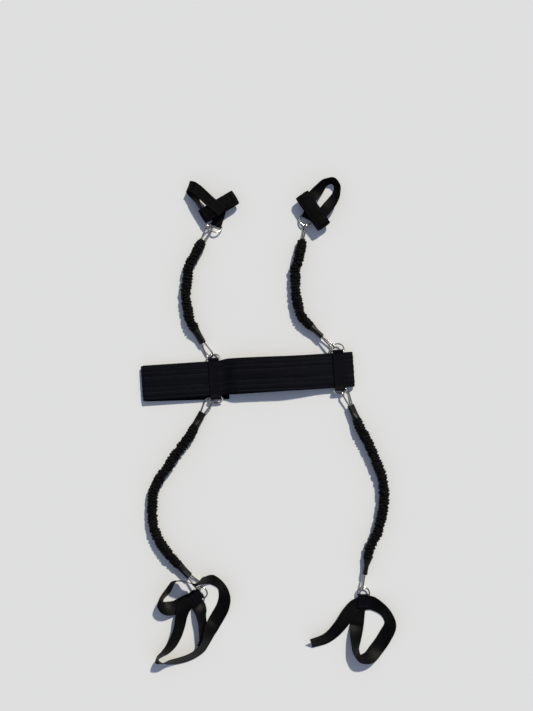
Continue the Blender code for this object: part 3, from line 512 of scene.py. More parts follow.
def between(first: tuple, last: tuple, step: float) -> list:
    """Points from one corner to another about a step apart, the first left out."""
    count = max(1, int(dist(first, last) / step))
    return [(first[0] + (last[0] - first[0]) * at / count, first[1] + (last[1] - first[1]) * at / count)
            for at in range(1, count + 1)]


def tangent_angle(centre: tuple, radius: float, point: tuple, side: int) -> float:
    """Angle on a circle, in degrees, where the line from an outside point touches it."""
    dx, dy = point[0] - centre[0], point[1] - centre[1]
    return degrees(atan2(dy, dx) + side * acos(radius / hypot(dx, dy)))


def all_round(quarter: tuple) -> Rows:
    """Section all round, from the left edge over the outer face, of its quarter from edge to middle."""
    outer = [(-w, n) for w, n in quarter] + [(w, n) for w, n in quarter[-2::-1]]
    return np.array(outer + [(w, -n) for w, n in outer[-2:0:-1]])


def swept(points: Rows, across: Rows, up: Rows, section: Rows) -> Rows:
    """Rings of a section, in pairs of distances across and up, carried along stations."""
    return points[:, None] + up[:, None] * section[:, 1:] + np.atleast_2d(across)[:, None] * section[:, :1]


def enclosed(rings: Rows, closed: bool) -> float:
    """Six times the signed volume inside a skin of rings, which tells which way it faces.

    Args:
        rings: Array of rings by sides by three.
        closed: True if the last ring joins the first.

    Returns:
        The volume, negative if the skin is inside out.
    """
    rings = rings - rings.mean(axis=(0, 1))
    after = np.roll(rings, -1, axis=0) if closed else rings[1:]
    before = rings if closed else rings[:-1]
    a, b = before, np.roll(before, -1, axis=1)
    c, d = np.roll(after, -1, axis=1), after
    total = (a * np.cross(b, c)).sum() + (a * np.cross(c, d)).sum()
    if not closed:
        for ring, way in ((rings[0], -1.0), (rings[-1], 1.0)):
            total += way * (ring.mean(axis=0) * np.cross(ring, np.roll(ring, -1, axis=0))).sum()
    return float(total)


def outward_order(rings: Rows, closed: bool) -> Rows:
    """Indices of a ring's points, as they are or turned round, so that their skin faces outwards."""
    sides = np.arange(rings.shape[1])
    return np.r_[0, sides[:0:-1]] if enclosed(rings, closed) < 0 else sides


def skin(name: str, rings: Rows, along: Rows, around: Rows, closed: bool = False) -> Mesh:
    """Skin a stack of equal rings and lay a UV map in metres on it.

    Args:
        name: The mesh's name.
        rings: Array of rings by sides by three.
        along: Distance of each ring, with one more for the joint of a closed stack.
        around: Distance of each side, with one more where the ring closes.
        closed: True if the last ring joins the first.

    Returns:
        A closed mesh that faces outwards.
    """
    rings, around = np.asarray(rings, dtype=float), np.asarray(around, dtype=float)
    count, sides = rings.shape[:2]
    order = outward_order(rings, closed)
    rings = rings[:, order]
    if order[1] != 1:
        around = around[::-1]
    faces, marks = [], []
    for row in range(count if closed else count - 1):
        after = (row + 1) % count
        low, high = along[row], along[row + 1]
        for side in range(sides):
            beside = (side + 1) % sides
            faces.append((row * sides + side, row * sides + beside, after * sides + beside,
                          after * sides + side))
            marks += [(around[side], low), (around[side + 1], low), (around[side + 1], high),
                      (around[side], high)]
    if not closed:
        faces.append(tuple(range(sides))[::-1])
        marks += [(around[side], along[0]) for side in range(sides)][::-1]
        faces.append(tuple(range((count - 1) * sides, count * sides)))
        marks += [(around[side], along[-1]) for side in range(sides)]
    mesh = bpy.data.meshes.new(name)
    mesh.from_pydata(rings.reshape(-1, 3).tolist(), [], faces)
    layer = mesh.uv_layers.new(name=CLOTH_UV)
    layer.data.foreach_set("uv", np.array(marks, dtype=np.float32).ravel())
    mesh.update()
    return mesh


def places(mesh: Mesh) -> Rows:
    """Places of a mesh's points, in rows of three numbers."""
    return np.array([point.co for point in mesh.vertices])


@contextmanager
def reshaping(mesh: Mesh) -> Iterator[bmesh.types.BMesh]:
    """Open a mesh for mesh operators and write the result back to it.

    Args:
        mesh: The mesh to change.

    Yields:
        The open shape.
    """
    shape = bmesh.new()
    shape.from_mesh(mesh)
    yield shape
    shape.to_mesh(mesh)
    shape.free()


def show(data: bpy.types.ID, name: str) -> Object:
    """Link a new object for a mesh, a curve, a camera or a lamp."""
    made = bpy.data.objects.new(name, data)
    bpy.context.scene.collection.objects.link(made)
    return made


def keep(name: str, mesh: Mesh, finish: Finishes, crease: float = 50.0) -> Object:
    """Make a smooth piece of a mesh whose place is already in it.

    Args:
        name: The piece's name.
        mesh: Its mesh in world metres.
        finish: Its finish, where the mesh has none yet.
        crease: Angle in degrees past which an edge stays sharp.

    Returns:
        The linked object.
    """
    if not mesh.materials:
        mesh.materials.append(finish.value.material())
    mesh.shade_smooth()
    mesh.set_sharp_from_angle(angle=radians(crease))
    piece = show(mesh, name)
    return piece


def fasten(piece: Object, body: str, *nodes: str) -> Object:
    """Let a finished piece stand for its nodes and ride on their body."""
    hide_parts(*nodes)
    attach(piece, body)
    return piece


def take_mesh(helper: Object, name: str) -> Mesh:
    """Evaluate a helper object into a plain mesh and remove the helper.

    Args:
        helper: A linked object with its modifiers.
        name: The new mesh's name.

    Returns:
        The plain mesh.
    """
    bpy.context.view_layer.update()
    graph = bpy.context.evaluated_depsgraph_get()
    mesh = bpy.data.meshes.new_from_object(helper.evaluated_get(graph))
    mesh.name = name
    bpy.data.objects.remove(helper)
    return mesh


def combine(mesh: Mesh, other: Mesh, operation: str) -> Mesh:
    """Join or cut one closed mesh with another.

    Args:
        mesh: The mesh to change.
        other: The mesh that is joined to it or cut from it.
        operation: UNION or DIFFERENCE.

    Returns:
        The new mesh, without flat faces.
    """
    first, second = show(mesh, "first"), show(other, "second")
    step = first.modifiers.new("combine", "BOOLEAN")
    step.object, step.operation, step.solver = second, operation, "EXACT"
    result = take_mesh(first, mesh.name)
    bpy.data.objects.remove(second)
    with reshaping(result) as shape:
        bmesh.ops.dissolve_degenerate(shape, dist=WELD, edges=shape.edges)
    return result


# Geometry node trees


class Tree:
    """One Geometry Nodes tree with named inputs, run on helper meshes."""

    def __init__(self, name: str, inputs: dict[str, tuple[str, object]]) -> None:
        """Args:
            name: The tree's name.
            inputs: Socket type and default of each named input after the geometry.
        """
        self.tree = bpy.data.node_groups.new(name, "GeometryNodeTree")
        face = self.tree.interface
        face.new_socket("Geometry", in_out="INPUT", socket_type="NodeSocketGeometry")
        face.new_socket("Geometry", in_out="OUTPUT", socket_type="NodeSocketGeometry")
        self.sockets = {}
        for key, (kind, default) in inputs.items():
            socket = face.new_socket(key, in_out="INPUT", socket_type=kind)
            if default is not None:
                socket.default_value = default
            self.sockets[key] = socket.identifier
        self.graph = Graph(self.tree)
        self.start = self.graph.node("NodeGroupInput")

    def input(self, name: str) -> Value:
        """One of the tree's inputs."""
        return self.start.output(name)

    def end(self, geometry: Value) -> None:
        """Realise, paint and send the geometry out."""
        node = self.graph.node
        solid = node("GeometryNodeRealizeInstances", values={"Geometry": geometry})
        node("NodeGroupOutput", values={"Geometry": node("GeometryNodeSetMaterial", values={
            "Geometry": solid, "Material": self.input("Finish")})})

    def run(self, mesh: Mesh, name: str, values: dict[str, object]) -> Mesh:
        """Run the tree on a mesh.

        Args:
            mesh: Its input.
            name: Name of the result.
            values: Values of the named inputs.

        Returns:
            The plain mesh that comes out.
        """
        helper = show(mesh, name)
        step = helper.modifiers.new(self.tree.name, "NODES")
        step.node_group = self.tree
        for key, value in values.items():
            step[self.sockets[key]] = value
        result = take_mesh(helper, name)
        bpy.data.meshes.remove(mesh)
        return result


class StitchTree(Tree):
    """Rows of thread stitches along lines."""

    FILL = 0.78  # length of a stitch as a share of its pitch

    def __init__(self) -> None:
        """Build the tree: a spindle of thread at even steps, turned along its row."""
        super().__init__("stitch_rows", {
            "Pitch": ("NodeSocketFloat", 0.0032), "Length": ("NodeSocketFloat", 0.0024),
            "Thread": ("NodeSocketFloat", 0.0006), "Finish": ("NodeSocketMaterial", None)})
        graph = self.graph
        rows = graph.node("GeometryNodeMeshToCurve", values={"Mesh": self.input("Geometry")})
        rows = graph.node("GeometryNodeResampleCurve", {"mode": "LENGTH"},
                          {"Curve": rows, "Length": self.input("Pitch")})
        bead = graph.node("GeometryNodeMeshUVSphere", values={"Segments": 6, "Rings": 4, "Radius": 0.5})
        ahead = graph.node("GeometryNodeInputTangent")
        turn = graph.node("FunctionNodeAlignRotationToVector", {"axis": "Z"}, {"Vector": ahead})
        size = graph.vector(self.input("Thread"), self.input("Thread"), self.input("Length"))
        self.end(graph.node("GeometryNodeInstanceOnPoints", values={
            "Points": rows, "Instance": bead, "Rotation": turn, "Scale": size}))

    def sew(self, name: str, lines: list, body: str, pitch: float = 0.0032,
            finish: Finishes = Finishes.THREAD) -> None:
        """Sew rows of stitches.

        Args:
            name: The piece's name.
            lines: Lists of points in world metres.
            body: The body that the rows ride on.
            pitch: Distance between two stitches.
            finish: The thread's finish.
        """
        points, edges = [], []
        for line in lines:
            first = len(points)
            points += [tuple(point) for point in line]
            edges += [(at, at + 1) for at in range(first, len(points) - 1)]
        mesh = bpy.data.meshes.new(name)
        mesh.from_pydata(points, edges, [])
        sewn = self.run(mesh, name, {
            "Pitch": pitch, "Length": pitch * self.FILL, "Finish": finish.value.material()})
        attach(keep(name, sewn, finish, 180.0), body)


class GatherTree(Tree):
    """Gathers of a sleeve: rounded folds with sharp creases between, which wander round it."""

    def __init__(self) -> None:
        """Build the tree on the attributes wrap and lift of the plain tube."""
        super().__init__("sleeve_gathers", {
            "Pitch": ("NodeSocketFloat", 0.0096), "Depth": ("NodeSocketFloat", 0.003),
            "Wander": ("NodeSocketFloat", 2.2), "Seed": ("NodeSocketFloat", 0.0),
            "Finish": ("NodeSocketMaterial", None)})
        graph = self.graph

        def attribute(name: str, kind: str) -> Value:
            """Named attribute of the tube."""
            return graph.node("GeometryNodeInputNamedAttribute", {"data_type": kind}, {"Name": name})

        x, y, along = graph.parts(attribute("wrap", "FLOAT_VECTOR"))
        lift = attribute("lift", "FLOAT")
        seed = self.input("Seed")
        drift = graph.noise(graph.vector(x * 0.9, y * 0.9, along * 55.0 + seed), 1.0, 2.0, 0.5)
        ripple = graph.noise(graph.vector(x * 2.2, y * 2.2, along * 190.0 + seed * 1.7), 1.0, 2.0, 0.5)
        size = graph.noise(graph.vector(x * 1.3, y * 1.3, along * 135.0 - seed), 1.0, 1.0, 0.5)
        phase = along / self.input("Pitch") + (drift - 0.5) * self.input("Wander")
        folds = phase.waves(1.0) ** 0.9
        rise = folds * size.between(0.25, 0.70) + (ripple - 0.5) * 0.55 + 0.12
        offset = rise.between(-0.05, 1.05) * self.input("Depth") * lift
        normal = graph.node("GeometryNodeInputNormal")
        move = graph.node("ShaderNodeVectorMath", {"operation": "SCALE"}, {0: normal, "Scale": offset})
        self.end(graph.node("GeometryNodeSetPosition",
                            values={"Geometry": self.input("Geometry"), "Offset": move}))


# Cloth under pressure


@dataclass
class Padding:
    """Foam filling, imitated by cloth under pressure between its sewn lines."""

    pressure: float = 6.0
    frames: int = 14
    excess: float = 0.02  # share by which the cloth is longer than its lining
    stretch: float = 25.0  # stiffness of the cloth along its threads
    shear: float = 8.0
    bending: float = 1.5
    pinning: float = 3.0
    cap: float = 0.0008  # furthest that a point may move

    def fill(self, mesh: Mesh, sewn: Rows, room: Rows) -> None:
        """Swell a closed mesh in place.

        Args:
            mesh: The slack shape.
            sewn: 1 where the cloth is held by a seam, 0 where it's free, for each of its points.
            room: Share of the cap that each point may use.
        """
        sewn, before = sewn.ravel(), places(mesh)
        helper = show(mesh.copy(), "padding")
        group = helper.vertex_groups.new(name="sewn")
        for level in np.unique(sewn):
            group.add(np.nonzero(sewn == level)[0].tolist(), float(level), "REPLACE")
        step = helper.modifiers.new("cloth", "CLOTH")
        cloth = step.settings
        cloth.quality = 4
        cloth.mass = 0.2
        cloth.tension_stiffness = cloth.compression_stiffness = self.stretch
        cloth.shear_stiffness = self.shear
        cloth.bending_stiffness = self.bending
        cloth.use_pressure = True
        cloth.uniform_pressure_force = self.pressure
        cloth.shrink_min = -self.excess
        cloth.vertex_group_mass = "sewn"
        cloth.pin_stiffness = self.pinning
        cloth.effector_weights.gravity = 0.0
        step.collision_settings.use_collision = False
        scene = bpy.context.scene
        for number in range(1, self.frames + 1):
            scene.frame_set(number)
        filled = take_mesh(helper, "filled")
        moved = places(filled) - before
        far = np.linalg.norm(moved, axis=1)
        limit = np.maximum(self.cap * room.ravel(), NOTHING)
        share = limit * np.tanh(far / limit) / np.maximum(far, NOTHING)
        mesh.vertices.foreach_set("co", (before + moved * share[:, None]).ravel())
        mesh.update()
        bpy.data.meshes.remove(filled)
        scene.frame_set(1)


# Hardware


@dataclass
class Hardware:
    """Snap hooks, gates, D-rings and end sheaths, each built once and copied to its places."""

    ring_wire: float = 0.0017
    ring_bow: float = 0.0142
    ring_arm: float = 0.0050
    ring_corner: float = 0.0020
    hook_wire: float = 0.0022
    hook_bow: float = 0.0098
    hook_eye: float = 0.0042
    hook_length: float = 0.0316
    hook_play: float = 0.0009
    gate_radius: float = 0.0019
    gate_hinge_at: float = 0.0230
    gate_nose_at: float = 0.0045
    gate_heel_gap: float = 0.0032
    gate_bevel: float = 0.0003
    tongue: float = 0.0016
    heel_under: float = 0.0005  # the heel's slot under the hinge
    heel_over: float = 0.0040  # and over it
    pin: float = 0.0008
    rivet: float = 0.0013  # radius of the pin's domed head
    dome: float = 0.0004  # height of the head, and its depth
    rim: float = 0.0001  # height of the head's rim
    slot_depth: float = 0.0028
    slot_width: float = 0.0018
    nose_wall: float = 0.0010
    nib_back: float = 0.0015
    nib_short: float = 0.0008  # nib to the slot's end
    past_wire: float = 0.0030  # a cut goes past the wire
    overlap: float = 0.0010  # joined shapes go into each other
    sheath_length: float = 0.034
    sheath_width: float = 0.0180
    sheath_height: float = 0.0118
    sheath_shoulder: float = 0.0176
    sheath_sides: int = 40
    squareness: float = 2.3  # 2 for an ellipse
    lip: float = 0.0010  # rounding of the mouth
    wall_from: float = 0.0016  # from the mouth to the first plain ring
    waist: float = 0.55  # share of the length where the shoulder begins
    rear_edge: float = 0.0008  # rounding of the rear
    panel_start: float = 0.0040
    panel_end: float = 0.0215
    panel_slope: float = 0.0015
    panel_half: float = 0.0050
    panel_edge: float = 0.0012
    panel_depth: float = 0.00045
    seam_half: float = 0.0003  # half height of the parting line
    seam_ridge: float = 0.012  # share by which it stands out
    neck_length: float = 0.008
    neck_radius: float = 0.0075
    covers_eye: float = 0.0040
    pocket_depth: float = 0.0123
    pocket_play: float = 1.6  # over the eye, in gaps
    pocket_squareness: float = 4.0
    core_radius: float = 0.0050
    sharp: float = 42.0  # crease angle in degrees

    def __post_init__(self) -> None:
        """Work out the dependent sizes and build the four shapes."""
        self.taper = asin((self.hook_bow - self.hook_eye) / self.hook_length)
        self.hook_inner = self.hook_bow - (self.ring_wire + self.hook_wire + self.hook_play)
        self.mouth = self.hook_length - self.covers_eye
        self.rear = self.mouth + self.sheath_length
        self.gate_length = (self.gate_hinge_at - self.gate_nose_at) / cos(self.taper)
        self.shapes = {"ring": self.ring(), "hook": self.hook(), "gate": self.gate(),
                       "sheath": self.sheath()}

    def wire(self, name: str, points: list, radius: float, closed: bool = False) -> Mesh:
        """Round wire along points in the XY plane.

        Args:
            name: The mesh's name.
            points: Pairs of numbers.
            radius: Radius of the wire.
            closed: True if its ends are joined.

        Returns:
            A closed mesh.
        """
        curve = bpy.data.curves.new(name, "CURVE")
        curve.dimensions = "3D"
        curve.bevel_depth, curve.bevel_resolution = radius, 6
        curve.use_fill_caps = not closed
        curve.twist_mode = "MINIMUM"
        spline = curve.splines.new("POLY")
        spline.points.add(len(points) - 1)
        for point, (x, y) in zip(spline.points, points):
            point.co = (x, y, 0.0, 1.0)
        spline.use_cyclic_u = closed
        mesh = take_mesh(show(curve, name), name)
        with reshaping(mesh) as shape:
            bmesh.ops.remove_doubles(shape, verts=shape.verts, dist=WELD)
        mesh.materials.clear()
        return mesh

    def block(self, low: tuple, high: tuple) -> Mesh:
        """Box to cut or join with.

        Args:
            low: Its corner with the least coordinates.
            high: The opposite corner.

        Returns:
            The box.
        """
        low, high = Vector(low), Vector(high)
        mesh = bpy.data.meshes.new("block")
        with reshaping(mesh) as shape:
            place = Matrix.Translation((low + high) / 2) @ Matrix.Diagonal((*(high - low), 1.0))
            bmesh.ops.create_cube(shape, size=1.0, matrix=place)
        return mesh

    def turned(self, profile: list, sides: int, place: Matrix) -> Mesh:
        """Closed shape turned round Z from pairs of radius and height, then put in its place."""
        rings = [[(r * cos(a), r * sin(a), z) for a in round_angles(sides)] for r, z in profile]
        mesh = skin("turned", np.array(rings), np.arange(len(profile)) * MM, np.arange(sides + 1) * MM)
        mesh.transform(place)
        return mesh

    def gate_line(self, distance: float) -> tuple[float, float]:
        """Point on the hook's right side, measured down from the gate's hinge."""
        sine, cosine = sin(self.taper), cos(self.taper)
        slant = (self.gate_hinge_at - self.hook_bow * sine) / cosine - distance
        return self.hook_bow * cosine - slant * sine, self.hook_bow * sine + slant * cosine

    def side_frame(self) -> Matrix:
        """Frame at the gate's hinge, +Y along the hook's right side towards the eye."""
        return turned_frame((*self.gate_line(0.0), 0.0), degrees(self.taper))

    def ring(self) -> Mesh:
        """D-ring with its bar on X through the origin.

        Returns:
            The ring, its bow towards +Y.
        """
        inner = self.ring_bow - self.ring_corner
        points = arc_points((inner, self.ring_corner), self.ring_corner, -90, 0, 6)
        points += arc_points((0.0, self.ring_arm), self.ring_bow, 0, 180, 44)
        points += arc_points((-inner, self.ring_corner), self.ring_corner, 180, 270, 6)
        points += [(x, 0.0) for x in np.linspace(-inner, inner, 9)[1:-1]]
        return self.wire("ring", points, self.ring_wire, closed=True)

    def hook(self) -> Mesh:
        """Pear-shaped wire hook with a pressed tongue for the gate and a slotted nose.

        Returns:
            The hook, its eye towards +Y.
        """
        taper = degrees(self.taper)
        heel_gap = self.gate_heel_gap / cos(self.taper)
        points = [self.gate_line(-heel_gap)]
        points += arc_points((0.0, self.hook_length), self.hook_eye, taper, 180 - taper, 18)
        points += arc_points((0.0, 0.0), self.hook_bow, 180 - taper, 360 + taper, 36)
        points += [self.gate_line(self.gate_length)]
        wire = self.wire("hook", points, self.hook_wire)
        outline = arc_points((0.0, 0.0), self.gate_radius, 180, 360, 16)
        high = heel_gap + self.hook_wire / 2
        outline += [(self.gate_radius, high), (-self.gate_radius, high)]
        half = self.tongue / 2
        place = self.side_frame()
        rings = [[tuple(place @ Vector((x, y, z))) for x, y in outline] for z in (-half, half)]
        tongue = skin("tongue", np.array(rings), np.array([0.0, self.tongue]),
                      np.arange(len(outline) + 1) * MM)
        slot = self.block((-self.past_wire, -self.gate_length - self.slot_depth, -self.slot_width / 2),
                          (self.hook_wire - self.nose_wall, -self.gate_length + self.overlap,
                           self.slot_width / 2))
        slot.transform(place)
        return combine(combine(wire, tongue, "UNION"), slot, "DIFFERENCE")

    def gate(self) -> Mesh:
        """Round gate with a slotted heel, a nib at its nose and the domed heads of its pin.

        Returns:
            The gate, its nose towards -Y.
        """
        top, nose = self.gate_radius, -self.gate_length + FIT_GAP
        edge = self.gate_bevel
        bar = self.turned([(self.gate_radius - edge, nose), (self.gate_radius, nose + edge),
                           (self.gate_radius, top - edge), (self.gate_radius - edge, top)], 20,
                          Matrix.Rotation(radians(-90.0), 4, "X"))
        play = self.tongue / 2 + FIT_GAP
        slot = self.block((-self.past_wire, -self.gate_radius - self.heel_under, -play),
                          (self.past_wire, self.heel_over, play))
        nib_half = self.slot_width / 2 - FIT_GAP
        nib = self.block((-self.nib_back, nose - self.slot_depth + self.nib_short, -nib_half),
                         (self.hook_wire - self.nose_wall - FIT_GAP, nose + self.overlap, nib_half))
        reach = self.gate_radius
        head = [(self.rivet * 0.5, reach + self.dome), (self.rivet, reach + self.rim),
                (self.rivet, reach - self.dome + self.rim), (self.pin, reach - self.dome)]
        pin = self.turned([(radius, -z) for radius, z in head] + head[::-1], 16, Matrix.Identity(4))
        body = combine(bar, slot, "DIFFERENCE")
        return combine(combine(body, pin, "UNION"), nib, "UNION")

    def oval(self, half_width: float, half_height: float, along: float, power: float = 2.0) -> list:
        """Ring of points round the Y axis.

        Args:
            half_width: Its half size along X.
            half_height: Its half size along Z.
            along: Its place on Y.
            power: 2 for an ellipse; a higher one squares it off.

        Returns:
            The ring's points.
        """
        def part(half: float, share: float) -> float:
            """One coordinate for a sine or cosine."""
            return half * copysign(abs(share) ** (2 / power), share)

        return [(part(half_width, cos(angle)), along, part(half_height, sin(angle)))
                for angle in round_angles(self.sheath_sides)]

    def sheath_rows(self) -> list:
        """Outside of the end sheath.

        Returns:
            Place along, half width and half height of each ring, from the mouth's lip to the rear.
        """
        wide, high, shoulder = self.sheath_width / 2, self.sheath_height / 2, self.sheath_shoulder / 2
        rows = []
        for turn in np.linspace(0.0, pi / 2, 5):
            inset = self.lip * (1 - sin(turn))
            rows.append((self.mouth + self.lip * (1 - cos(turn)), wide - inset, high - inset))
        middle = self.mouth + self.waist * self.sheath_length
        for along in np.linspace(self.mouth + self.wall_from, self.rear - self.lip, 34):
            share = eased(ramp(along, middle, self.rear - middle))
            rows.append((along, wide + (shoulder - wide) * share, high + (shoulder - high) * share))
        for turn in np.linspace(pi / 10, pi / 2, 4):
            inset = self.rear_edge * (1 - cos(turn))
            rows.append((self.rear - self.rear_edge * (1 - sin(turn)), shoulder - inset,
                         shoulder - inset))
        return rows

    def pressed(self, x: float, y: float, z: float) -> tuple[float, float, float]:
        """Sink a point of the sheath's outside into a panel, or raise it on the parting line.

        Args:
            x: Place across.
            y: Place along.
            z: Height from the middle.

        Returns:
            The moved point.
        """
        panel = (ramp(y, self.mouth + self.panel_start, self.panel_slope)
                 * ramp(y, self.mouth + self.panel_end, -self.panel_slope)
                 * ramp(abs(x), self.panel_half, -self.panel_edge))
        z -= copysign(self.panel_depth * panel, z)
        return x * (1.0 + (self.seam_ridge if abs(z) < self.seam_half else 0.0)), y, z

    def sheath(self) -> Mesh:
        """Moulded end sheath with a recessed panel above and below, a parting line and a bored neck.

        Returns:
            The sheath, its mouth towards the hook.
        """
        pocket = (self.hook_eye + self.hook_wire + self.covers_eye * tan(self.taper) + 2 * FIT_GAP,
                  self.hook_wire + self.pocket_play * FIT_GAP)
        neck = (self.neck_radius, self.neck_radius)
        bore = ((self.core_radius + FIT_GAP) / cos(pi / 10),) * 2
        floor, neck_end = self.mouth + self.pocket_depth, self.rear + self.neck_length
        outer = [[self.pressed(*point) for point in self.oval(half_wide, half_high, along, self.squareness)]
                 for along, half_wide, half_high in self.sheath_rows()]
        inner = [self.oval(*neck, self.rear), self.oval(*neck, neck_end), self.oval(*bore, neck_end),
                 self.oval(*bore, floor + self.overlap), self.oval(*pocket, floor, self.pocket_squareness),
                 self.oval(*pocket, self.mouth, self.pocket_squareness)]
        rings = np.array(outer + inner)
        return skin("sheath", rings, np.arange(len(rings) + 1) * MM,
                    np.arange(self.sheath_sides + 1) * MM, closed=True)

    def put(self, shape: str, name: str, place: Matrix, body: str, node: str) -> None:
        """Copy a shape to its place and let it stand for a node.

        Args:
            shape: One of the four shapes.
            name: The piece's name.
            place: Its place in the world.
            body: The body that it rides on.
            node: The node that it stands for.
        """
        mesh = self.shapes[shape].copy()
        mesh.transform(place)
        finish = Finishes.SHEATH if shape == "sheath" else Finishes.PLATE
        fasten(keep(name, mesh, finish, self.sharp), body, node)


# Links between rings and hooks


@dataclass
class Link:
    """How a snap hook and a D-ring lie where they meet, in degrees, and the sheath's height."""

    ring_turn: float
    ring_slope: float
    contact: float
    hook_turn: float
    hook_roll: float
    hook_shift: float
    rear_height: float


def lie(turn: float, slope: float, roll: float) -> Matrix:
    """Axes of a piece that lies on the floor, angles in degrees.

    Args:
        turn: Where its +Y points.
        slope: How steeply +Y falls.
        roll: Turn about its own +Y.

    Returns:
        Its axes as columns.
    """
    turn, slope, roll = radians(turn), radians(slope), radians(roll)
    along = Vector((cos(turn) * cos(slope), sin(turn) * cos(slope), -sin(slope)))
    level = Vector((sin(turn), -cos(turn), 0.0))
    right = level * cos(roll) - level.cross(along) * sin(roll)
    return Matrix((right, along, right.cross(along))).transposed()


def placed(axes: Matrix, origin: Vector) -> Matrix:
    """Four by four matrix of axes and an origin."""
    return Matrix.Translation(origin) @ axes.to_4x4()


@dataclass
class PlacedLink:
    """A ring and a hook in the world."""

    bar: Vector
    ring: Matrix
    hook: Matrix
    rear: Vector
    away: Vector

    @classmethod
    def hang(cls, bar: Vector, link: Link, hardware: Hardware) -> "PlacedLink":
        """Hang the hook in the ring so that the sheath's rear lies at its height.

        Args:
            bar: Middle of the ring's bar.
            link: The two pieces' angles.
            hardware: Their sizes.

        Returns:
            Both places.
        """
        ring = lie(link.ring_turn, link.ring_slope, 0.0)
        at, shift = radians(link.contact), radians(link.hook_shift)
        bow, inner = hardware.ring_bow, hardware.hook_inner
        contact = bar + ring @ Vector((bow * sin(at), hardware.ring_arm + bow * cos(at), 0.0))
        offset = Vector((-inner * sin(shift), inner * cos(shift), 0.0))
        slope = 0.0
        for _ in range(8):
            hook = lie(link.hook_turn, slope, link.hook_roll)
            rear = contact + hook @ (offset + Vector((0.0, hardware.rear, 0.0)))
            slope += degrees((rear.z - link.rear_height) / hardware.rear)
        return cls(bar, placed(ring, bar), placed(hook, contact + hook @ offset), rear,
                   hook.col[1].copy())

    def moved(self, shift: Vector) -> "PlacedLink":
        """The same link carried to another place."""
        step = Matrix.Translation(shift)
        return PlacedLink(self.bar + shift, step @ self.ring, step @ self.hook, self.rear + shift, self.away)


# Webbing


@dataclass
class Ribbon:
    """A length of webbing along stations: a point and the direction of its width."""

    name: str
    stations: Rows
    width: float
    thickness: float
    closed: bool = False

    # A quarter of the section: share of the half width, share of the half thickness
    QUARTER = ((1.0, 0.0), (0.985, 0.70), (0.94, 1.0), (0.86, 1.0), (0.80, 0.84), (0.4, 0.88), (0.0, 0.90))
    BOX_MARGIN = 0.0028  # from the selvedge to a box of stitches
    TACK_MARGIN = 0.0025  # from the selvedge to a bar of stitches
    TACK_STEP = 0.0011  # between the rows of a bar
    SUNK = 0.95  # share of the half thickness at which thread lies

    def __post_init__(self) -> None:
        """Work out the webbing's own directions at each station."""
        self.points = self.stations[:, :3]
        across = self.stations[:, 3:6]
        if self.closed:
            ahead = np.roll(self.points, -1, axis=0) - np.roll(self.points, 1, axis=0)
        else:
            ahead = np.gradient(self.points, axis=0)
        ahead = unit(ahead)
        self.across = unit(across - (across * ahead).sum(axis=1)[:, None] * ahead)
        self.up = np.cross(ahead, self.across)
        ends = np.vstack((self.points, self.points[:1])) if self.closed else self.points
        self.along = distances_along(ends)

    def mesh(self) -> Mesh:
        """The webbing's skin."""
        section = all_round(self.QUARTER) * (self.width / 2, self.thickness / 2)
        return skin(self.name, swept(self.points, self.across, self.up, section), self.along,
                    np.append(section[:, 0], section[0, 0]), self.closed)

    def line(self, marks: list, face: int, step: float = 0.004) -> list:
        """A line on one face of the webbing.

        Args:
            marks: Corners as distance along and distance across, in metres.
            face: 1 for the face that the webbing's up direction points to, -1 for the other.
            step: Longest step between two points.

        Returns:
            Points in world metres.
        """
        flat = marks[:1]
        for mark in marks[1:]:
            flat += between(flat[-1], mark, step)
        flat = np.array(flat)
        base = self.along[:len(self.points)]
        sides = (self.points, self.across, self.up)
        points, across, up = (read_rows(rows, base, flat[:, 0]) for rows in sides)
        return list(points + across * flat[:, 1:] + up * (face * self.thickness / 2 * self.SUNK))

    def box_stitch(self, start: float, length: float) -> list:
        """Sewn box with a cross, on both faces.

        Args:
            start: Where it begins along the webbing.
            length: Its length.

        Returns:
            Lines of points.
        """
        half, end = self.width / 2 - self.BOX_MARGIN, start + length
        routes = ([(start, -half), (end, -half), (end, half), (start, half), (start, -half)],
                  [(start, -half), (end, half)], [(start, half), (end, -half)])
        return [self.line(route, face) for face in (1, -1) for route in routes]

    def bar_tack(self, at: float) -> list:
        """Lines of a dense bar of stitches across the webbing, on both faces."""
        half = self.width / 2 - self.TACK_MARGIN
        return [self.line([(at + row * self.TACK_STEP, -half), (at + row * self.TACK_STEP, half)], face)
                for face in (1, -1) for row in range(3)]

    def piece(self, finish: Finishes, body: str, *nodes: str) -> None:
        """Finish the piece and let it stand for its nodes on a body."""
        fasten(keep(self.name, self.mesh(), finish), body, *nodes)


def clear_ground(stations: Rows, width: float, thickness: float) -> Rows:
    """Lift the stations whose lowest edge would lie under the ground, and return them."""
    tilt = np.clip(np.abs(stations[:, 5]), 0.0, 1.0)
    lowest = stations[:, 2] - width / 2 * tilt - thickness / 2 * np.sqrt(1 - tilt * tilt)
    stations[:, 2] += np.maximum(0.0, FIT_GAP - lowest)
    return stations


def in_frame(stations: Rows, place: Matrix) -> Rows:
    """Stations carried from a frame to the world."""
    turn, shift = np.array(place.to_3x3()), np.array(place.translation)
    return np.hstack((stations[:, :3] @ turn.T + shift, stations[:, 3:6] @ turn.T))


def folded_stations(profile: list) -> Rows:
    """Stations of webbing that runs in the YZ plane with its width along X."""
    return np.array([(0.0, y, z, 1.0, 0.0, 0.0) for y, z in profile])


# Bands


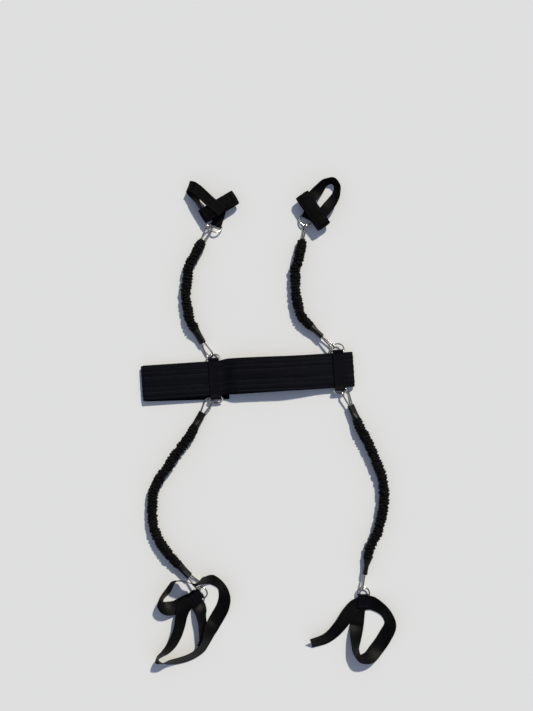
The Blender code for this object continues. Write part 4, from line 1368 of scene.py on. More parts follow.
@dataclass
class Band:
    """One sleeved elastic band with the snap hooks and rings at its two ends."""

    name: str
    side: int
    end: int
    near: Link
    far: Link
    far_bar_height: float
    cover: float  # how far the sleeve is drawn over the far sheath
    route: tuple  # millimetres from the near sheath's rear, the last one the far rear
    seed: float
    sleeve_radius: float = 0.0130
    sleeve_end: float = 0.0104
    sleeve_taper: float = 0.030
    fullness: float = 0.010  # length over which the gathers swell at each end
    straight: float = 0.020
    lift: float = 0.0004
    gather: float = 0.0044  # depth of the folds
    least: float = 0.0022  # least height of a fold over the bore
    pitch: float = 0.0070
    wall: float = 0.0009
    hem: float = 0.0040  # length of the sewn hem at each end
    hem_rise: float = 0.55  # share of a fold's depth at which the hem lies
    core_inset: float = 0.0136
    core_sides: int = 20
    sides: int = 36
    step: float = 0.0012  # between the rings of the sleeve
    widening: float = 0.006

    def place(self) -> None:
        """Place both links and lay the route between them."""
        hardware = self.hardware
        self.start = PlacedLink.hang(self.bar, self.near, hardware)
        far = PlacedLink.hang(Vector((0.0, 0.0, self.far_bar_height)), self.far, hardware)
        rear, away = self.start.rear, self.start.away
        x, y = self.route[-1]
        self.finish = far.moved(Vector((rear.x + x * MM - far.rear.x, rear.y + y * MM - far.rear.y, 0.0)))
        height = self.sleeve_radius + self.lift
        middle = [(rear.x + x * MM, rear.y + y * MM, height) for x, y in self.route[:-1]]
        points = [rear, rear + away * self.straight, *map(Vector, middle),
                  self.finish.rear + self.finish.away * self.straight, self.finish.rear]
        curve = smooth_route(list(map(tuple, points)), 16, tuple(away), tuple(-self.finish.away))
        along = distances_along(curve)
        curve[:, 2] = height
        for link, distance in ((self.start, along), (self.finish, along[-1] - along)):
            hold = 1 - eased(ramp(distance, hardware.neck_length, self.sleeve_taper))
            curve[:, 2] += (link.rear.z + link.away.z * distance - height) * hold
        inside = hardware.sheath_length
        self.line = np.vstack((tuple(rear - away * inside), curve,
                               tuple(self.finish.rear - self.finish.away * inside)))
        self.leaves, self.meets = inside, inside + distances_along(curve)[-1]

    @property
    def far_end(self) -> str:
        """What the band runs to."""
        return "wrist" if self.end > 0 else "ankle"

    def rings_along(self, stations: Rows, radii: Rows, sides: int) -> Rows:
        """Rings of points round the band's line.

        Args:
            stations: Distances along the line.
            radii: Radius at each of them.
            sides: Points in each ring.

        Returns:
            Array of stations by sides by three.
        """
        points = read_route(self.line, stations)
        ahead = unit(np.gradient(points, stations, axis=0))
        across = unit(np.cross(ahead, (0.0, 0.0, 1.0)))
        up = np.cross(across, ahead)
        angles = round_angles(sides)
        return (points[:, None] + radii[:, None, None]
                * (np.cos(angles)[None, :, None] * across[:, None]
                   + np.sin(angles)[None, :, None] * up[:, None]))

    def bore(self, distances: Rows) -> Rows:
        """Radius of the sleeve's bore, which widens where it goes over the far sheath."""
        neck = self.hardware.neck_radius + FIT_GAP
        covering = self.hardware.sheath_width / 2 + FIT_GAP
        opens = self.meets if self.cover > 0 else self.meets + self.widening
        return neck + (covering - neck) * ramp(distances, opens - self.widening, self.widening)

    def sleeve(self) -> None:
        """Gathered sleeve, hemmed at both ends, with its bore."""
        name = f"{self.name}_cover"
        first = self.leaves + FIT_GAP
        last = self.meets + self.cover if self.cover > 0 else self.meets - FIT_GAP
        stations = np.linspace(first, last, int((last - first) / self.step))
        from_end = np.minimum(stations - first, last - stations)
        swell = eased(ramp(from_end, 0.0, self.fullness))
        crest = self.sleeve_end + (self.sleeve_radius - self.sleeve_end) * swell
        crest = np.minimum(crest, read_route(self.line, stations)[:, 2] - FIT_GAP)
        crest = np.maximum(crest, self.bore(stations) + self.least)
        base = np.maximum(crest - self.gather, self.bore(stations) + self.wall)
        depth = crest - base
        hem = ramp(from_end, 0.0, self.hem)
        outer = self.rings_along(stations, base + depth * self.hem_rise * (1 - hem), self.sides)
        within = np.linspace(first, last, len(stations) // 4)
        inner = self.rings_along(within, self.bore(within), self.sides)[::-1]
        distances = np.concatenate((stations, within[::-1], [first])) - first
        around = np.arange(self.sides + 1) / self.sides * 2 * pi * self.sleeve_radius
        mesh = skin(name, np.concatenate((outer, inner)), distances, around, closed=True)
        self.mark(mesh, distances[:-1], depth / self.gather * hem)
        mesh = self.gathers.run(mesh, name, {
            "Pitch": self.pitch, "Depth": self.gather, "Seed": self.seed,
            "Finish": Finishes.SLEEVE.value.material()})
        piece = keep(name, mesh, Finishes.SLEEVE, 180.0)
        self.across_stretch(piece, "sleeve")
        path = read_route(self.line, np.linspace(first, last, 60))

    def mark(self, mesh: Mesh, distances: Rows, lifts: Rows) -> None:
        """Write the attributes that the gathers read.

        Args:
            mesh: The plain tube.
            distances: Distance of each ring along the sleeve.
            lifts: Share of the full depth at each outer ring.
        """
        angles = round_angles(self.sides)
        wrap = np.zeros((len(distances), self.sides, 3))
        wrap[:, :, 0], wrap[:, :, 1] = np.cos(angles), np.sin(angles)
        wrap[:, :, 2] = distances[:, None]
        lift = np.zeros(wrap.shape[:2])
        lift[:len(lifts)] = lifts[:, None]
        layers = (("wrap", "FLOAT_VECTOR", "vector", wrap), ("lift", "FLOAT", "value", lift))
        for name, kind, key, rows in layers:
            mesh.attributes.new(name, kind, "POINT").data.foreach_set(key, rows.astype(np.float32).ravel())

    def core(self) -> None:
        """Elastic core inside the sleeve."""
        hard = self.hardware
        depth = hard.sheath_length - self.core_inset
        straight = hard.neck_length + hard.core_radius
        middle = np.linspace(self.leaves + straight, self.meets - straight, 60)
        stations = np.concatenate(([self.leaves - depth], middle, [self.meets + depth]))
        radii = np.full(len(stations), hard.core_radius)
        around = np.arange(self.core_sides + 1) / self.core_sides * 2 * pi * hard.core_radius
        mesh = skin(f"{self.name}_elastic", self.rings_along(stations, radii, self.core_sides), stations,
                    around)
        self.across_stretch(keep(f"{self.name}_elastic", mesh, Finishes.ELASTIC), "core")

    def across_stretch(self, piece: Object, node: str) -> None:
        """Let a piece stand for a node, with its place baked into its mesh.

        Args:
            piece: The finished piece.
            node: The node's name after the band's.
        """
        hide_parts(f"{self.name}_{node}")
        tuple(self.start.rear)
        tuple(self.finish.rear)
        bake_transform(piece)

    def build(self, bar: Vector, hardware: Hardware, gathers: GatherTree) -> None:
        """Build every piece of the band.

        Args:
            bar: Middle of the belt ring's bar.
            hardware: The hooks, rings and sheaths.
            gathers: Maker of gathers.
        """
        self.bar, self.hardware, self.gathers = bar, hardware, gathers
        self.place()
        name, far = self.name, self.far_end
        ends = (("belt", self.start, f"{name}_band"), (far, self.finish, f"{name}_{far}_end"))
        for end, link, hook_body in ends:
            here = f"{name}_{end}"
            hardware.put("ring", f"{here}_dee", link.ring, f"{here}_ring", f"{here}_ring")
            hardware.put("hook", f"{here}_snap", link.hook, hook_body, f"{here}_hook")
            hardware.put("gate", f"{here}_latch", link.hook @ hardware.side_frame(), f"{here}_gate",
                         f"{here}_gate")
            hardware.put("sheath", f"{here}_boot", link.hook, hook_body, f"{here}_sheath")
        self.core()
        self.sleeve()
        LOG.info("%s: band of %.0f mm", name, (self.meets - self.leaves) / MM)

    def cuff_frame(self) -> Matrix:
        """Ground frame under the far ring's bar, +Y into the cuff."""
        return turned_frame((self.finish.bar.x, self.finish.bar.y, 0.0), self.far.ring_turn + 90.0)


# Belt


@dataclass
class Belt:
    """Quilted waist belt with bound edges, its closure and its two strips."""

    width: float = 0.080
    thickness: float = 0.0044
    binding: float = 0.007
    left_end: float = -0.3104
    right_end: float = 0.1770
    front: float = 0.0143  # height of the front layer beside the strips
    arch: float = 0.0250  # its height where it arches up
    tail: float = 0.198
    overlap: float = 0.102
    tail_offset: float = -0.003
    tail_end_offset: float = -0.010
    patch: float = 0.0007
    patch_length: float = 0.085
    patch_width: float = 0.050
    strip_spacing: float = 0.2845
    strip_width: float = 0.0244
    strip_thickness: float = 0.0012
    overhang: float = 0.0040
    neck: float = 0.0055
    step: float = 0.0036
    turns: int = 14  # steps in each fold
    eye: float = 0.0017 + FIT_GAP + 0.0006
    end_seam: float = 0.0135  # from the right end to the row of stitches across it
    seam_depth: float = 0.98  # share of the cloth's height at which a row lies
    quilt_pitch: float = 0.0034
    strip_pitch: float = 0.0028
    bow: float = 0.0036  # sideways bow of the front layer beside the left strip

    # Section: distance across and half thickness of the outer face, in millimetres
    SECTION = ((40.0, 0.0), (39.75, 0.95), (38.9, 1.45), (37.2, 1.6), (35.2, 1.5), (33.9, 1.2),
               (33.2, 1.1), (32.4, 1.35), (30.5, 1.85), (27.5, 2.02), (24.6, 1.85), (23.0, 1.55),
               (21.4, 1.85), (18.5, 2.08), (14.8, 1.9), (13.0, 1.55), (12.0, 1.35), (11.0, 1.55),
               (8.5, 1.95), (4.5, 2.08), (0.0, 2.1))
    SEAMS = (33.2, 23.0, 12.0)  # where the cloth is sewn down
    ROWS = (35.2, 23.0, 12.0)  # where a row of stitches shows

    # Where the front layer changes height, from the left strip, and where it's flat by the right one
    FLAT = (-0.030, 0.014)
    ARCHED = 0.055
    ARCH_ENDS = 0.005  # from the middle of the belt
    FLAT_AGAIN = 0.022
    BACK_FLAT = 0.020
    OVER_TAIL = (0.027, 0.005)  # from the tail's end, where the back layer climbs over it
    BOW = ((-0.136, 0.030), (-0.100, 0.180))  # where the bow begins and fades, and over what lengths

    # Where the cloth is held or pressed
    BOUND_FROM = 0.0345  # from the belt's middle line
    PAST_STRIP = 0.003
    PAST_TAIL = 0.012
    LAYER_GAP = 0.003  # the least between the front and back layers

    STRIP_SEAMS = (0.0026, 0.004)  # from the selvedge and the belt's edge to a strip's stitches
    STRIP_BOX = (0.011, 0.0024)  # half length of its crossed box, and the step of its end rows

    # Share of the full swell that the cloth takes
    FACE_ROOM = 0.35  # the stiff face cloth
    PRESSED_ROOM = 0.15  # under a strip
    STACKED_ROOM = 0.25  # in the overlap and on the tail

    def rise(self, points: list, end: tuple) -> None:
        """Extend the stations by an eased change of height.

        Args:
            points: The stations so far: x, height and shift along Y.
            end: The station to reach.
        """
        (x0, z0, y0), (x1, z1, y1) = points[-1], end
        steps = max(1, int(abs(x1 - x0) / self.step))
        for share in np.linspace(0.0, 1.0, steps + 1)[1:]:
            points.append((x0 + (x1 - x0) * share, z0 + (z1 - z0) * eased(share), y0 + (y1 - y0) * share))

    def stations(self) -> Rows:
        """Stations round the belt from the tail's free end.

        Returns:
            Rows of x, height and shift along Y.
        """
        low = self.thickness / 2
        fold = (self.front - low) / 2
        left, right = self.left_end + low + fold, self.right_end - low - fold
        strip, tail_end, middle = self.strip_spacing / 2, self.left_end + self.tail, (low + self.front) / 2
        over = low + self.thickness + 2 * self.patch + 3 * FIT_GAP
        points = [(tail_end, low, self.tail_end_offset)]
        self.rise(points, (left, low, self.tail_offset))
        for share, (x, z) in enumerate(arc_points((left, middle), fold, 270, 90, self.turns)[1:], 1):
            points.append((x, z, self.tail_offset * (1 - share / self.turns)))
        for x, z in ((self.FLAT[0] - strip, self.front), (self.FLAT[1] - strip, self.front),
                     (self.ARCHED - strip, self.arch), (self.ARCH_ENDS, self.arch),
                     (strip - self.FLAT_AGAIN, self.front), (right, self.front)):
            self.rise(points, (x, z, 0.0))
        points += [(x, z, 0.0) for x, z in arc_points((right, middle), fold, 90, -90, self.turns)[1:]]
        for x, z in ((self.BACK_FLAT, low), (-self.BACK_FLAT, low), (tail_end + self.OVER_TAIL[0], low),
                     (tail_end + self.OVER_TAIL[1], over), (tail_end - self.overlap, over)):
            self.rise(points, (x, z, 0.0))
        rows = np.array(points)
        front = ramp(rows[:, 1], self.thickness + low, self.front - self.thickness - low)
        begins, fades = (eased(ramp(rows[:, 0], *span)) for span in self.BOW)
        rows[:, 2] += self.bow * begins * (1 - fades) * front
        return rows

    def frames(self) -> tuple[Rows, Rows]:
        """Middle points of the belt and its outward directions.

        Returns:
            Two arrays of rows of three.
        """
        points = self.stations()[:, [0, 2, 1]]
        ahead = unit(np.gradient(points[:, [0, 2]], axis=0))
        return points, np.stack((-ahead[:, 1], np.zeros(len(points)), ahead[:, 0]), axis=1)

    def padding(self) -> None:
        """The padded belt, filled between its quilting lines, with bound edges."""
        points, out = self.frames()
        section = all_round(self.SECTION) * MM
        rings = swept(points, WIDE, out, section)
        mesh = skin("belt_padding", rings, distances_along(points),
                    np.append(section[:, 0], section[0, 0]))
        sewn, room = self.holds(points, section)
        order = outward_order(rings, closed=False)
        Padding().fill(mesh, sewn[:, order], room[:, order])
        for finish in (Finishes.BELT, Finishes.BINDING):
            mesh.materials.append(finish.value.material())
        edge = self.width / 2 - self.binding
        for face in mesh.polygons:
            row = min(min(face.vertices) // len(section), len(points) - 1)
            face.material_index = int(abs(face.center.y - points[row, 1]) > edge)
        piece = fasten(keep("belt_padding", mesh, Finishes.BELT, PAD_CREASE), "belt", "belt_body")

    def holds(self, points: Rows, section: Rows) -> tuple[Rows, Rows]:
        """Where the belt's cloth is sewn down, and how far it may swell.

        Args:
            points: Middle points of the stations.
            section: The belt's section in metres.

        Returns:
            Sewn share and room, stations by points of the section.
        """
        across = np.abs(section[:, 0])
        held = (across > self.BOUND_FROM).astype(float)
        for seam in self.SEAMS:
            held[np.abs(across - seam * MM) < WELD] = 1.0
        sewn = np.tile(held, (len(points), 1))
        sewn[:2] = sewn[-2:] = 1.0
        room = np.tile(np.where(section[:, 1] > 0, self.FACE_ROOM, 1.0), (len(points), 1))
        from_strip = np.abs(np.abs(points[:, 0]) - self.strip_spacing / 2)
        on_top = points[:, 2] > self.front - self.LAYER_GAP
        room[(from_strip < self.strip_width / 2 + self.PAST_STRIP) & on_top] *= self.PRESSED_ROOM
        room[(points[:, 0] < self.left_end + self.tail + self.PAST_TAIL) & ~on_top] *= self.STACKED_ROOM
        return sewn, room

    def quilting(self) -> None:
        """Rows of stitches along the binding and the quilting lines, and one across the right end."""
        points, out = self.frames()
        heights = dict(self.SECTION)
        lines = [list(points + out * (heights[row] * MM * face * self.seam_depth) + WIDE * side * row * MM)
                 for row in self.ROWS for side in (-1, 1) for face in (-1, 1)]
        at = np.argmax((points[:, 0] > self.right_end - self.end_seam) & (points[:, 2] > self.front - MM))
        edge = self.width / 2 - self.binding
        lines.append([points[at] + out[at] * (self.thickness / 2 * self.seam_depth) + WIDE * y
                      for y in np.linspace(-edge, edge, 20)])
        self.stitches.sew("belt_stitching", lines, "belt", self.quilt_pitch, Finishes.QUILT_THREAD_HIGHLIGHT)

    def closure(self) -> None:
        """Two layers of hook-and-loop pile in the overlap."""
        middle = self.left_end + self.tail - self.overlap / 2
        across = (self.tail_offset + self.tail_end_offset) / 2
        low = self.thickness + FIT_GAP
        for name, node in (("belt_hook_pile", "belt_hook_patch"), ("belt_loop_pile", "belt_loop_patch")):
            xs = np.linspace(middle - self.patch_length / 2, middle + self.patch_length / 2, 24)
            rows = [(x, across, low + self.patch / 2, 0.0, 1.0, 0.0) for x in xs]
            Ribbon(name, np.array(rows), self.patch_width, self.patch).piece(Finishes.PILE, "belt", node)
            low += self.patch + FIT_GAP

    def bar_height(self) -> float:
        """Height of the strips' middle, where the bars of the belt's rings lie."""
        return self.front + self.thickness / 2 + FIT_GAP + self.strip_thickness + FIT_GAP / 2

    def bar_y(self) -> float:
        """Distance of the belt's rings from its middle."""
        return self.width / 2 + self.overhang

    def strip(self, name: str, side: int) -> None:
        """One strip: two layers of webbing with an eye at either end, sewn down along both edges.

        Args:
            name: The piece's name.
            side: -1 for the left one, 1 for the right one.
        """
        half = (self.strip_thickness + FIT_GAP) / 2
        neck = self.bar_y() - self.neck
        touch = tangent_angle((self.bar_y(), 0.0), self.eye, (neck, half), -1)
        right = [(0.0, half)] + between((0.0, half), (neck, half), WEBBING_STEP)
        right += arc_points((self.bar_y(), 0.0), self.eye, touch, -touch, 22)
        right += [(neck, -half)] + between((neck, -half), (0.0, -half), WEBBING_STEP)[:-1]
        stations = folded_stations(right + [(-y, -z) for y, z in right])
        x = side * self.strip_spacing / 2
        place = Matrix.Translation((x, 0.0, self.bar_height()))
        ribbon = Ribbon(name, in_frame(stations, place), self.strip_width, self.strip_thickness, True)
        ribbon.piece(Finishes.STRIP, "belt", f"belt_{name}")
        top = self.bar_height() + half + self.strip_thickness / 2
        (side_in, end_in), (box, row) = self.STRIP_SEAMS, self.STRIP_BOX
        edge, end = self.strip_width / 2 - side_in, self.width / 2 - end_in
        routes = [((at, -end), (at, end), 30) for at in (-edge, edge)]
        routes += [((-edge, y), (edge, y), 8) for y in (-end, -end + row, end - row, end)]
        routes += [((-edge, first), (edge, last), 10)
                   for first, last in ((-box, box), (box, -box), (-box, -box), (box, box))]
        lines = [np.linspace((x + first[0], first[1], top), (x + last[0], last[1], top), count)
                 for first, last, count in routes]
        self.stitches.sew(f"{name}_stitching", lines, "belt", self.strip_pitch)

    def build(self, stitches: StitchTree) -> None:
        """Build every piece of the belt.

        Args:
            stitches: Maker of stitches.
        """
        self.stitches = stitches
        self.padding()
        self.quilting()
        self.closure()
        self.strip("strip_left", -1)
        self.strip("strip_right", 1)
        LOG.info("belt: %.0f mm round", distances_along(self.frames()[0])[-1] / MM)


# Cuffs


@dataclass
class Cuff:
    """What the two kinds of cuff share: the webbing tab round the ring's bar."""

    name: str
    limb: str
    tab_reach: float  # how far the tab runs from the bar
    tab_width: float = 0.0244
    tab_thickness: float = 0.0012
    tab_pitch: float = 0.0022
    eye: float = 0.0017 + FIT_GAP + 0.0006
    eye_root: float = 3.1  # from the bar to where the legs part, in radii of the eye
    tacks: tuple = (0.001, 0.003)  # bars of stitches, past the eye's root and short of the tab's end

    @property
    def body(self) -> str:
        """The body that the cuff's pieces ride on."""
        return f"{self.name}_cuff"

    def build(self, bands: dict[str, Band], stitches: StitchTree) -> None:
        """Build the whole cuff.

        Args:
            bands: The four bands by name.
            stitches: Maker of stitches.
        """
        self.band, self.stitches = bands[self.limb], stitches
        self.frame = self.band.cuff_frame()
        self.pieces()

    def tab(self, lower: float, upper: float) -> None:
        """Tab with its eye round the bar.

        Args:
            lower: Height of its lower leg.
            upper: Height of its upper leg.
        """
        root, reach = self.eye_root * self.eye, self.tab_reach
        centre = (0.0, self.band.far_bar_height)
        first = tangent_angle(centre, self.eye, (root, upper), 1)
        last = 360.0 + tangent_angle(centre, self.eye, (root, lower), -1)
        arc = arc_points(centre, self.eye, first, last, 22)
        profile = [(reach, upper)] + between((reach, upper), (root, upper), WEBBING_STEP)
        profile += between((root, upper), arc[0], EYE_STEP)[:-1] + arc
        profile += between(arc[-1], (root, lower), EYE_STEP)
        profile += between((root, lower), (reach, lower), WEBBING_STEP)
        ribbon = Ribbon(f"{self.name}_keeper", in_frame(folded_stations(profile), self.frame),
                        self.tab_width, self.tab_thickness)
        ribbon.piece(Finishes.STRIP, self.body, f"{self.name}_tab")
        lines = []
        for back in (reach - (root - self.tacks[0]), self.tacks[1]):
            lines += ribbon.bar_tack(back)
            lines += ribbon.bar_tack(ribbon.along[-1] - back - 2 * Ribbon.TACK_STEP)
        self.stitches.sew(f"{self.name}_keeper_stitching", lines, self.body, self.tab_pitch)


@dataclass
class WristCuff(Cuff):
    """Padded ring with a hand loop."""

    pad_centre: tuple = (0.0, 0.0)
    pad_turn: float = 0.0
    pad_height: float = 0.0
    loop: tuple = ()  # millimetres, then the turn and lean of the width in degrees
    length: float = 0.092
    width: float = 0.034
    thickness: float = 0.0045
    spread: float = 0.0125
    crown: float = 0.0020
    drawn_in: float = 0.0004  # the binding pulls either edge in
    flat_steps: int = 44
    turn_steps: int = 16
    held_from: float = 0.80  # share of the half width past which the binding holds the cloth
    seam_at: float = 0.82  # share of the half width
    seam_height: float = 0.60  # share of the half thickness
    seam_pitch: float = 0.0030
    cap: float = 0.0010  # furthest that the cloth swells
    lining_room: float = 0.4
    under_room: float = 0.15
    loop_width: float = 0.025
    loop_thickness: float = 0.0015
    loop_pitch: float = 0.0024
    loop_boxes: tuple = (0.003, 0.018)  # from the end to a box of stitches, and its length
    loop_tack: float = 0.026

    # Section of the pad: share of half width, share of half thickness
    SECTION = ((1.0, 0.0), (0.985, 0.45), (0.94, 0.68), (0.87, 0.72), (0.82, 0.60), (0.76, 0.66),
               (0.62, 0.86), (0.42, 0.95), (0.2, 0.99), (0.0, 1.0))

    def ring_stations(self) -> Rows:
        """Stations round the flattened ring.

        Returns:
            Rows of x and height, from the left of the lower layer.
        """
        radius, low = self.spread / 2, self.thickness / 2
        flat = self.length / 2 - radius - low
        stations = [(x, low) for x in np.linspace(-flat, flat, self.flat_steps)]
        stations += arc_points((flat, low + radius), radius, -90, 90, self.turn_steps)[1:]
        stations += [(flat * share, low + self.spread + self.crown * cos(share * pi / 2) ** 2)
                     for share in np.linspace(1.0, -1.0, self.flat_steps + 1)[1:]]
        stations += arc_points((-flat, low + radius), radius, 90, 270, self.turn_steps)[1:-1]
        return np.array(stations)

    def pad(self) -> None:
        """Flattened padded ring with bound edges and quilted middle."""
        low, half_width = self.thickness / 2, self.width / 2 - self.drawn_in
        section = all_round(self.SECTION) * (half_width, low)
        points = self.ring_stations()
        ahead = unit(np.roll(points, -1, axis=0) - np.roll(points, 1, axis=0))
        level = np.zeros(len(points))
        middle = np.stack((points[:, 0], level, points[:, 1]), axis=1)
        out = np.stack((ahead[:, 1], level, -ahead[:, 0]), axis=1)
        rings = swept(middle, WIDE, out, section)
        name = f"{self.name}_padding"
        mesh = skin(name, rings, distances_along(np.vstack((middle, middle[:1]))),
                    np.append(section[:, 0], section[0, 0]), closed=True)
        place = self.frame @ turned_frame((*self.pad_centre, self.pad_height), self.pad_turn)
        mesh.transform(place)
        held = (np.abs(section[:, 0]) > half_width * self.held_from).astype(float)
        room = np.tile(np.where(section[:, 1] < 0, self.lining_room, 1.0), (len(points), 1))
        room[points[:, 1] < low + MM] *= self.under_room
        order = outward_order(rings, closed=True)
        Padding(cap=self.cap).fill(mesh, np.tile(held[order], (len(points), 1)), room[:, order])
        piece = fasten(keep(name, mesh, Finishes.PAD, PAD_CREASE), self.body, f"{self.name}_pad")
        lines = []
        for side in (-1, 1):
            row = middle + out * (low * self.seam_height) + WIDE * side * half_width * self.seam_at
            lines.append([place @ Vector(point) for point in (*row, row[0])])
        self.stitches.sew(f"{self.name}_stitching", lines, self.body, self.seam_pitch)

    def hand_loop(self) -> None:
        """Loop of webbing for the hand."""
        rows = []
        for x, y, z, turn, lean in self.loop:
            turn, lean = radians(turn), radians(lean)
            rows.append((x * MM, y * MM, z * MM, cos(lean) * cos(turn),
                         cos(lean) * sin(turn), sin(lean)))
        stations = clear_ground(smooth_route(rows, 14), self.loop_width, self.loop_thickness)
        ribbon = Ribbon(f"{self.name}_hand_webbing", in_frame(stations, self.frame), self.loop_width,
                        self.loop_thickness)
        ribbon.piece(Finishes.HAND, self.body, f"{self.name}_hand_loop")
        total, (margin, length) = ribbon.along[-1], self.loop_boxes
        lines = ribbon.box_stitch(margin, length) + ribbon.bar_tack(self.loop_tack)
        lines += ribbon.box_stitch(total - margin - length, length)
        self.stitches.sew(f"{self.name}_loop_stitching", lines, self.body, self.loop_pitch)
        LOG.info("%s: hand loop of %.0f mm", self.name, total / MM)

    def pieces(self) -> None:
        """The tab under the pad, the pad and the hand loop."""
        upper = self.pad_height - FIT_GAP - self.tab_thickness / 2
        self.tab(upper - self.tab_thickness - FIT_GAP, upper)
        self.pad()
        self.hand_loop()


@dataclass
class AnkleStrap(Cuff):
    """Long webbing strap that stands on its edge in loops."""

    lower_leg: float = 0.0
    upper_leg: float = 0.0
    strap: tuple = ()  # x, y, lean in degrees, and the lower edge's height if not usual
    usual_height: float = 0.3  # millimetres
    width: float = 0.032
    thickness: float = 0.0016
    pitch: float = 0.0026
    strap_tacks: tuple = (0.004, 0.030)
    strap_box: tuple = (0.004, 0.020)  # from the far end to a box of stitches, and its length

    def laid(self) -> Rows:
        """Stations of the strap on the ground; a lean raises its left edge, a negative one its right.

        Returns:
            Rows of a point and the direction of the width.
        """
        marks = [(*mark, self.usual_height)[:4] for mark in self.strap]
        flat = np.array([(x * MM, y * MM, 0.0) for x, y, _, _ in marks])
        rows = []
        for (x, y, lean, lift), (dx, dy, _) in zip(marks, chord_tangents(flat)):
            lean, scale = radians(lean), hypot(dx, dy)
            height = (lift * MM + self.width / 2 * abs(sin(lean))
                      + self.thickness / 2 * abs(cos(lean)))
            rows.append((x * MM, y * MM, height, -dy / scale * cos(lean),
                         dx / scale * cos(lean), sin(lean)))
        return clear_ground(smooth_route(rows, 12), self.width, self.thickness)

    def pieces(self) -> None:
        """The strap and its tab."""
        ribbon = Ribbon(f"{self.name}_webbing", in_frame(self.laid(), self.frame), self.width,
                        self.thickness)
        ribbon.piece(Finishes.ANKLE, self.body, f"{self.name}_strap")
        total, (margin, length) = ribbon.along[-1], self.strap_box
        lines = [line for at in self.strap_tacks for line in ribbon.bar_tack(at)]
        lines += ribbon.box_stitch(total - margin - length, length)
        self.stitches.sew(f"{self.name}_strap_stitching", lines, self.body, self.pitch)
        self.tab(self.lower_leg, self.upper_leg)
        LOG.info("%s: strap of %.0f mm", self.name, total / MM)


# The laid-out harness


COVER = 0.029
BANDS = (
    Band("arm_left", -1, 1, Link(90, 54, -46, 116, -37, -37, 0.0130),
         Link(-111, -26, 44, -122, -48, -64, 0.0132), 0.0033, COVER,
         ((-15, 56), (-17, 86), (-11, 116), (-5, 147), (12.6, 176.3)), 1.3),
    Band("arm_right", 1, 1, Link(90, 30, -59, 133, 104, 33, 0.0122),
         Link(-120, -11, -17, -105, 73, 36, 0.0132), 0.0052, COVER,
         ((-28, 58), (-30, 89), (-29, 114), (-25, 143), (-15, 169)), 4.1),
    Band("leg_left", -1, -1, Link(-90, 45, 69, -123, 22, -36, 0.0122),
         Link(34, -24, -78, 130, 51, -37, 0.012), 0.0100, 0.0,
         ((-28, -39), (-50, -64), (-71, -92), (-92, -119), (-105, -144), (-110, -173), (-112, -199),
          (-110, -228), (-101, -255), (-86, -281), (-58, -317)), 7.7),
    Band("leg_right", 1, -1, Link(-90, 58, -57, -71, -37, -17, 0.0122),
         Link(86, -2, -7, 76, 84, 55, 0.012), 0.0082, 0.0,
         ((16, -41), (28, -69), (39, -101), (49, -135), (52, -169), (50, -196), (42, -229), (32, -259),
          (4, -323)), 11.9),
)
WRISTS = (
    WristCuff("wrist_left", "arm_left", pad_centre=(-0.0060, 0.0400), pad_turn=48, pad_height=0.0068,
              tab_reach=0.042, loop=(
        (6, 30, 26.9, -113, 0), (-12, 38, 26.9, -114, 0), (-30, 45.5, 26.9, -114, 0),
        (-47, 54, 26.2, -111, 0), (-62, 61, 25.6, -104, 0), (-75, 65, 25.0, -92, 0),
        (-86, 64, 14.0, -92, 0), (-78.5, 59, 4.0, -105, 8), (-69, 49.5, 8.0, -125, 35),
        (-59.5, 40, 11.4, -134, 58), (-51.5, 32, 12.6, -134, 72), (-43.6, 24.3, 12.7, -134, 74))),
    WristCuff("wrist_right", "arm_right", pad_centre=(0.006, 0.0185), pad_turn=-29, pad_height=0.0099,
              tab_reach=0.028, loop=(
        (-19, 18, 21.3, 163, 0), (-13, 36, 21.3, 162, 0), (-8, 52, 20.9, 164, 1), (-3, 70, 17.0, 166, 30),
        (4, 91, 12.0, 158, 55), (17, 101, 11.6, 90, 60), (30, 95, 11.6, 30, 60), (36, 79, 13.2, 5, 48),
        (36, 58, 18.0, -8, 20), (32, 38, 21.0, -15, 0), (28, 22, 21.3, -17, 0), (23, 6, 21.3, -17, 0))),
)
ANKLES = (
    AnkleStrap("ankle_left", "leg_left", tab_reach=0.022, lower_leg=0.0083, upper_leg=0.0117, strap=(
        (-97, 70, 50), (-90, 58, 51), (-79, 50, 54), (-67, 42.5, 57), (-55, 35, 58), (-41, 28, 50),
        (-27, 22, 26, 0.2), (-13, 22, 4, 0.1), (0, 32, 0, 0.1), (4, 50, 0, 0.1), (8, 66, 6, 0.2),
        (15, 77, 26), (25, 85, 52), (36, 86, 70), (44, 76, 72), (49, 57, 64), (58, 30, 75, 6),
        (47, 6, 75, 24), (29, -9, 75, 24), (21, -25, 56, 9), (8, -41, 35, 0.5), (-20, -49, 45),
        (-41, -40, 32), (-57, -22, 20), (-67, -1, 8), (-75, 18, -6), (-84, 36, -34), (-95, 55, -50),
        (-103, 77, -50), (-102, 100, -50), (-95, 124, -50), (-83, 148, -56), (-70, 167, -78),
        (-60, 171, -94), (-56, 161, -108), (-57, 145, -124), (-54, 125, -134), (-45, 104, -138),
        (-31, 83, -140, 1.5), (-12, 61, -150, 3.5), (-1, 41, -168, 6.5), (0, 24, -180, 9.2),
        (0, 12, -180, 9.2), (0, 4.5, -180, 9.2))),
    AnkleStrap("ankle_right", "leg_right", tab_reach=0.030, lower_leg=0.0045, upper_leg=0.0060, strap=(
        (119, 110, 38), (84, 98, 30), (47, 62, 12, 3.4), (30, 38, 3, 2.8), (16, 25, 0, 2.0),
        (0, 20, 0, 2.0), (-16, 18, 0, 2.0), (-36, 26, 28, 1.0), (-54, 43, 42), (-62, 62, 42), (-50, 95, 20),
        (-31, 124, 12), (-12, 142, 45), (6, 143, 72), (16, 127, 62), (17, 104, 40), (16, 86, 18),
        (14, 70, 0, 0.1), (12, 50, 0, 0.1), (10, 28, 0, 0.1))),
)


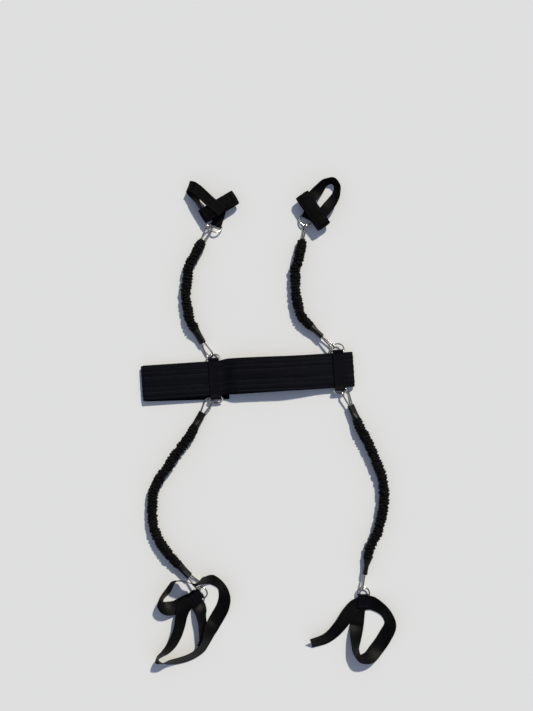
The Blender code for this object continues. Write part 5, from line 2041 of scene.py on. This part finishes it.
@dataclass
class Studio:
    """Floor, light and camera."""

    centre: tuple = (-0.0208, 0.0443)
    height: float = 2.27
    roll: float = 3.8  # degrees
    lens: float = 50.0
    sensor: float = 36.0
    floor_size: float = 9.0
    floor_colour: Colour = (0.742, 0.742, 0.742)
    floor_drop: float = 0.0002
    mottle: float = 0.985  # share of the floor's colour in its darker clouds
    sun: float = 3.46
    sun_colour: Colour = (1.0, 0.953, 0.822)
    sun_angle: float = 3.0  # degrees
    sun_from: tuple = (0.52, 0.90, 1.0)
    sky: Colour = (0.235, 0.272, 0.376)
    mirrored: Colour = (0.105, 0.112, 0.130)
    seen_colour: Colour = (0.735, 0.735, 0.735)

    def camera(self) -> None:
        """Camera straight above, rolled as the photograph is."""
        data = bpy.data.cameras.new("camera")
        data.lens, data.sensor_width = self.lens, self.sensor
        camera = show(data, "camera")
        camera.location = (*self.centre, self.height)
        camera.rotation_euler = (0.0, 0.0, radians(-self.roll))
        bpy.context.scene.camera = camera

    def floor(self) -> None:
        """Plain pale floor just under the harness."""
        mesh = bpy.data.meshes.new("floor")
        with reshaping(mesh) as shape:
            bmesh.ops.create_grid(shape, x_segments=1, y_segments=1, size=self.floor_size / 2)
        material = bpy.data.materials.new("floor")
        material.use_nodes = True
        graph = Graph(material.node_tree)
        place = graph.node("ShaderNodeTexCoord", output="Object")
        cloud = graph.noise(place, 9.0, 4.0)
        dark = tuple(part * self.mottle for part in self.floor_colour)
        graph.surface(graph.mix(cloud, dark, self.floor_colour), 0.9, {"Specular IOR Level": 0.1})
        mesh.materials.append(material)
        floor = show(mesh, "floor")
        floor.location.z = -self.floor_drop

    def light(self) -> None:
        """One soft sun from the upper right and an even sky."""
        lamp = bpy.data.lights.new("sun", "SUN")
        lamp.energy, lamp.angle = self.sun, radians(self.sun_angle)
        lamp.color = self.sun_colour
        sun = show(lamp, "sun")
        sun.rotation_mode = "QUATERNION"
        sun.rotation_quaternion = (-Vector(self.sun_from)).to_track_quat("-Z", "Y")
        world = bpy.data.worlds.new("world")
        bpy.context.scene.world = world
        world.use_nodes = True
        graph = Graph(world.node_tree)
        seen = graph.node("ShaderNodeLightPath", output="Is Camera Ray")
        colour = graph.mix(seen.output("Is Glossy Ray"), self.sky, self.mirrored)
        colour = graph.mix(seen, colour, self.seen_colour)
        back = graph.node("ShaderNodeBackground", values={"Color": colour, "Strength": 1.0})
        graph.node("ShaderNodeOutputWorld", values={"Surface": back})
        bpy.context.scene.view_settings.view_transform = "Standard"

    def build(self) -> None:
        """Build the whole studio."""
        for part in (self.camera, self.floor, self.light):
            part()


def main() -> None:
    """Build the studio and the harness, piece by piece."""
    logging.basicConfig(level=logging.INFO, format="%(name)s: %(message)s")
    Studio().build()
    hardware, stitches, gathers = Hardware(), StitchTree(), GatherTree()
    belt = Belt()
    belt.build(stitches)
    bands = {band.name: band for band in BANDS}
    for band in BANDS:
        bar = Vector((band.side * belt.strip_spacing / 2, band.end * belt.bar_y(), belt.bar_height()))
        band.build(bar, hardware, gathers)
    for cuff in (*WRISTS, *ANKLES):
        cuff.build(bands, stitches)
        LOG.info("%s: built", cuff.name)


if __name__ == "__main__":
    main()
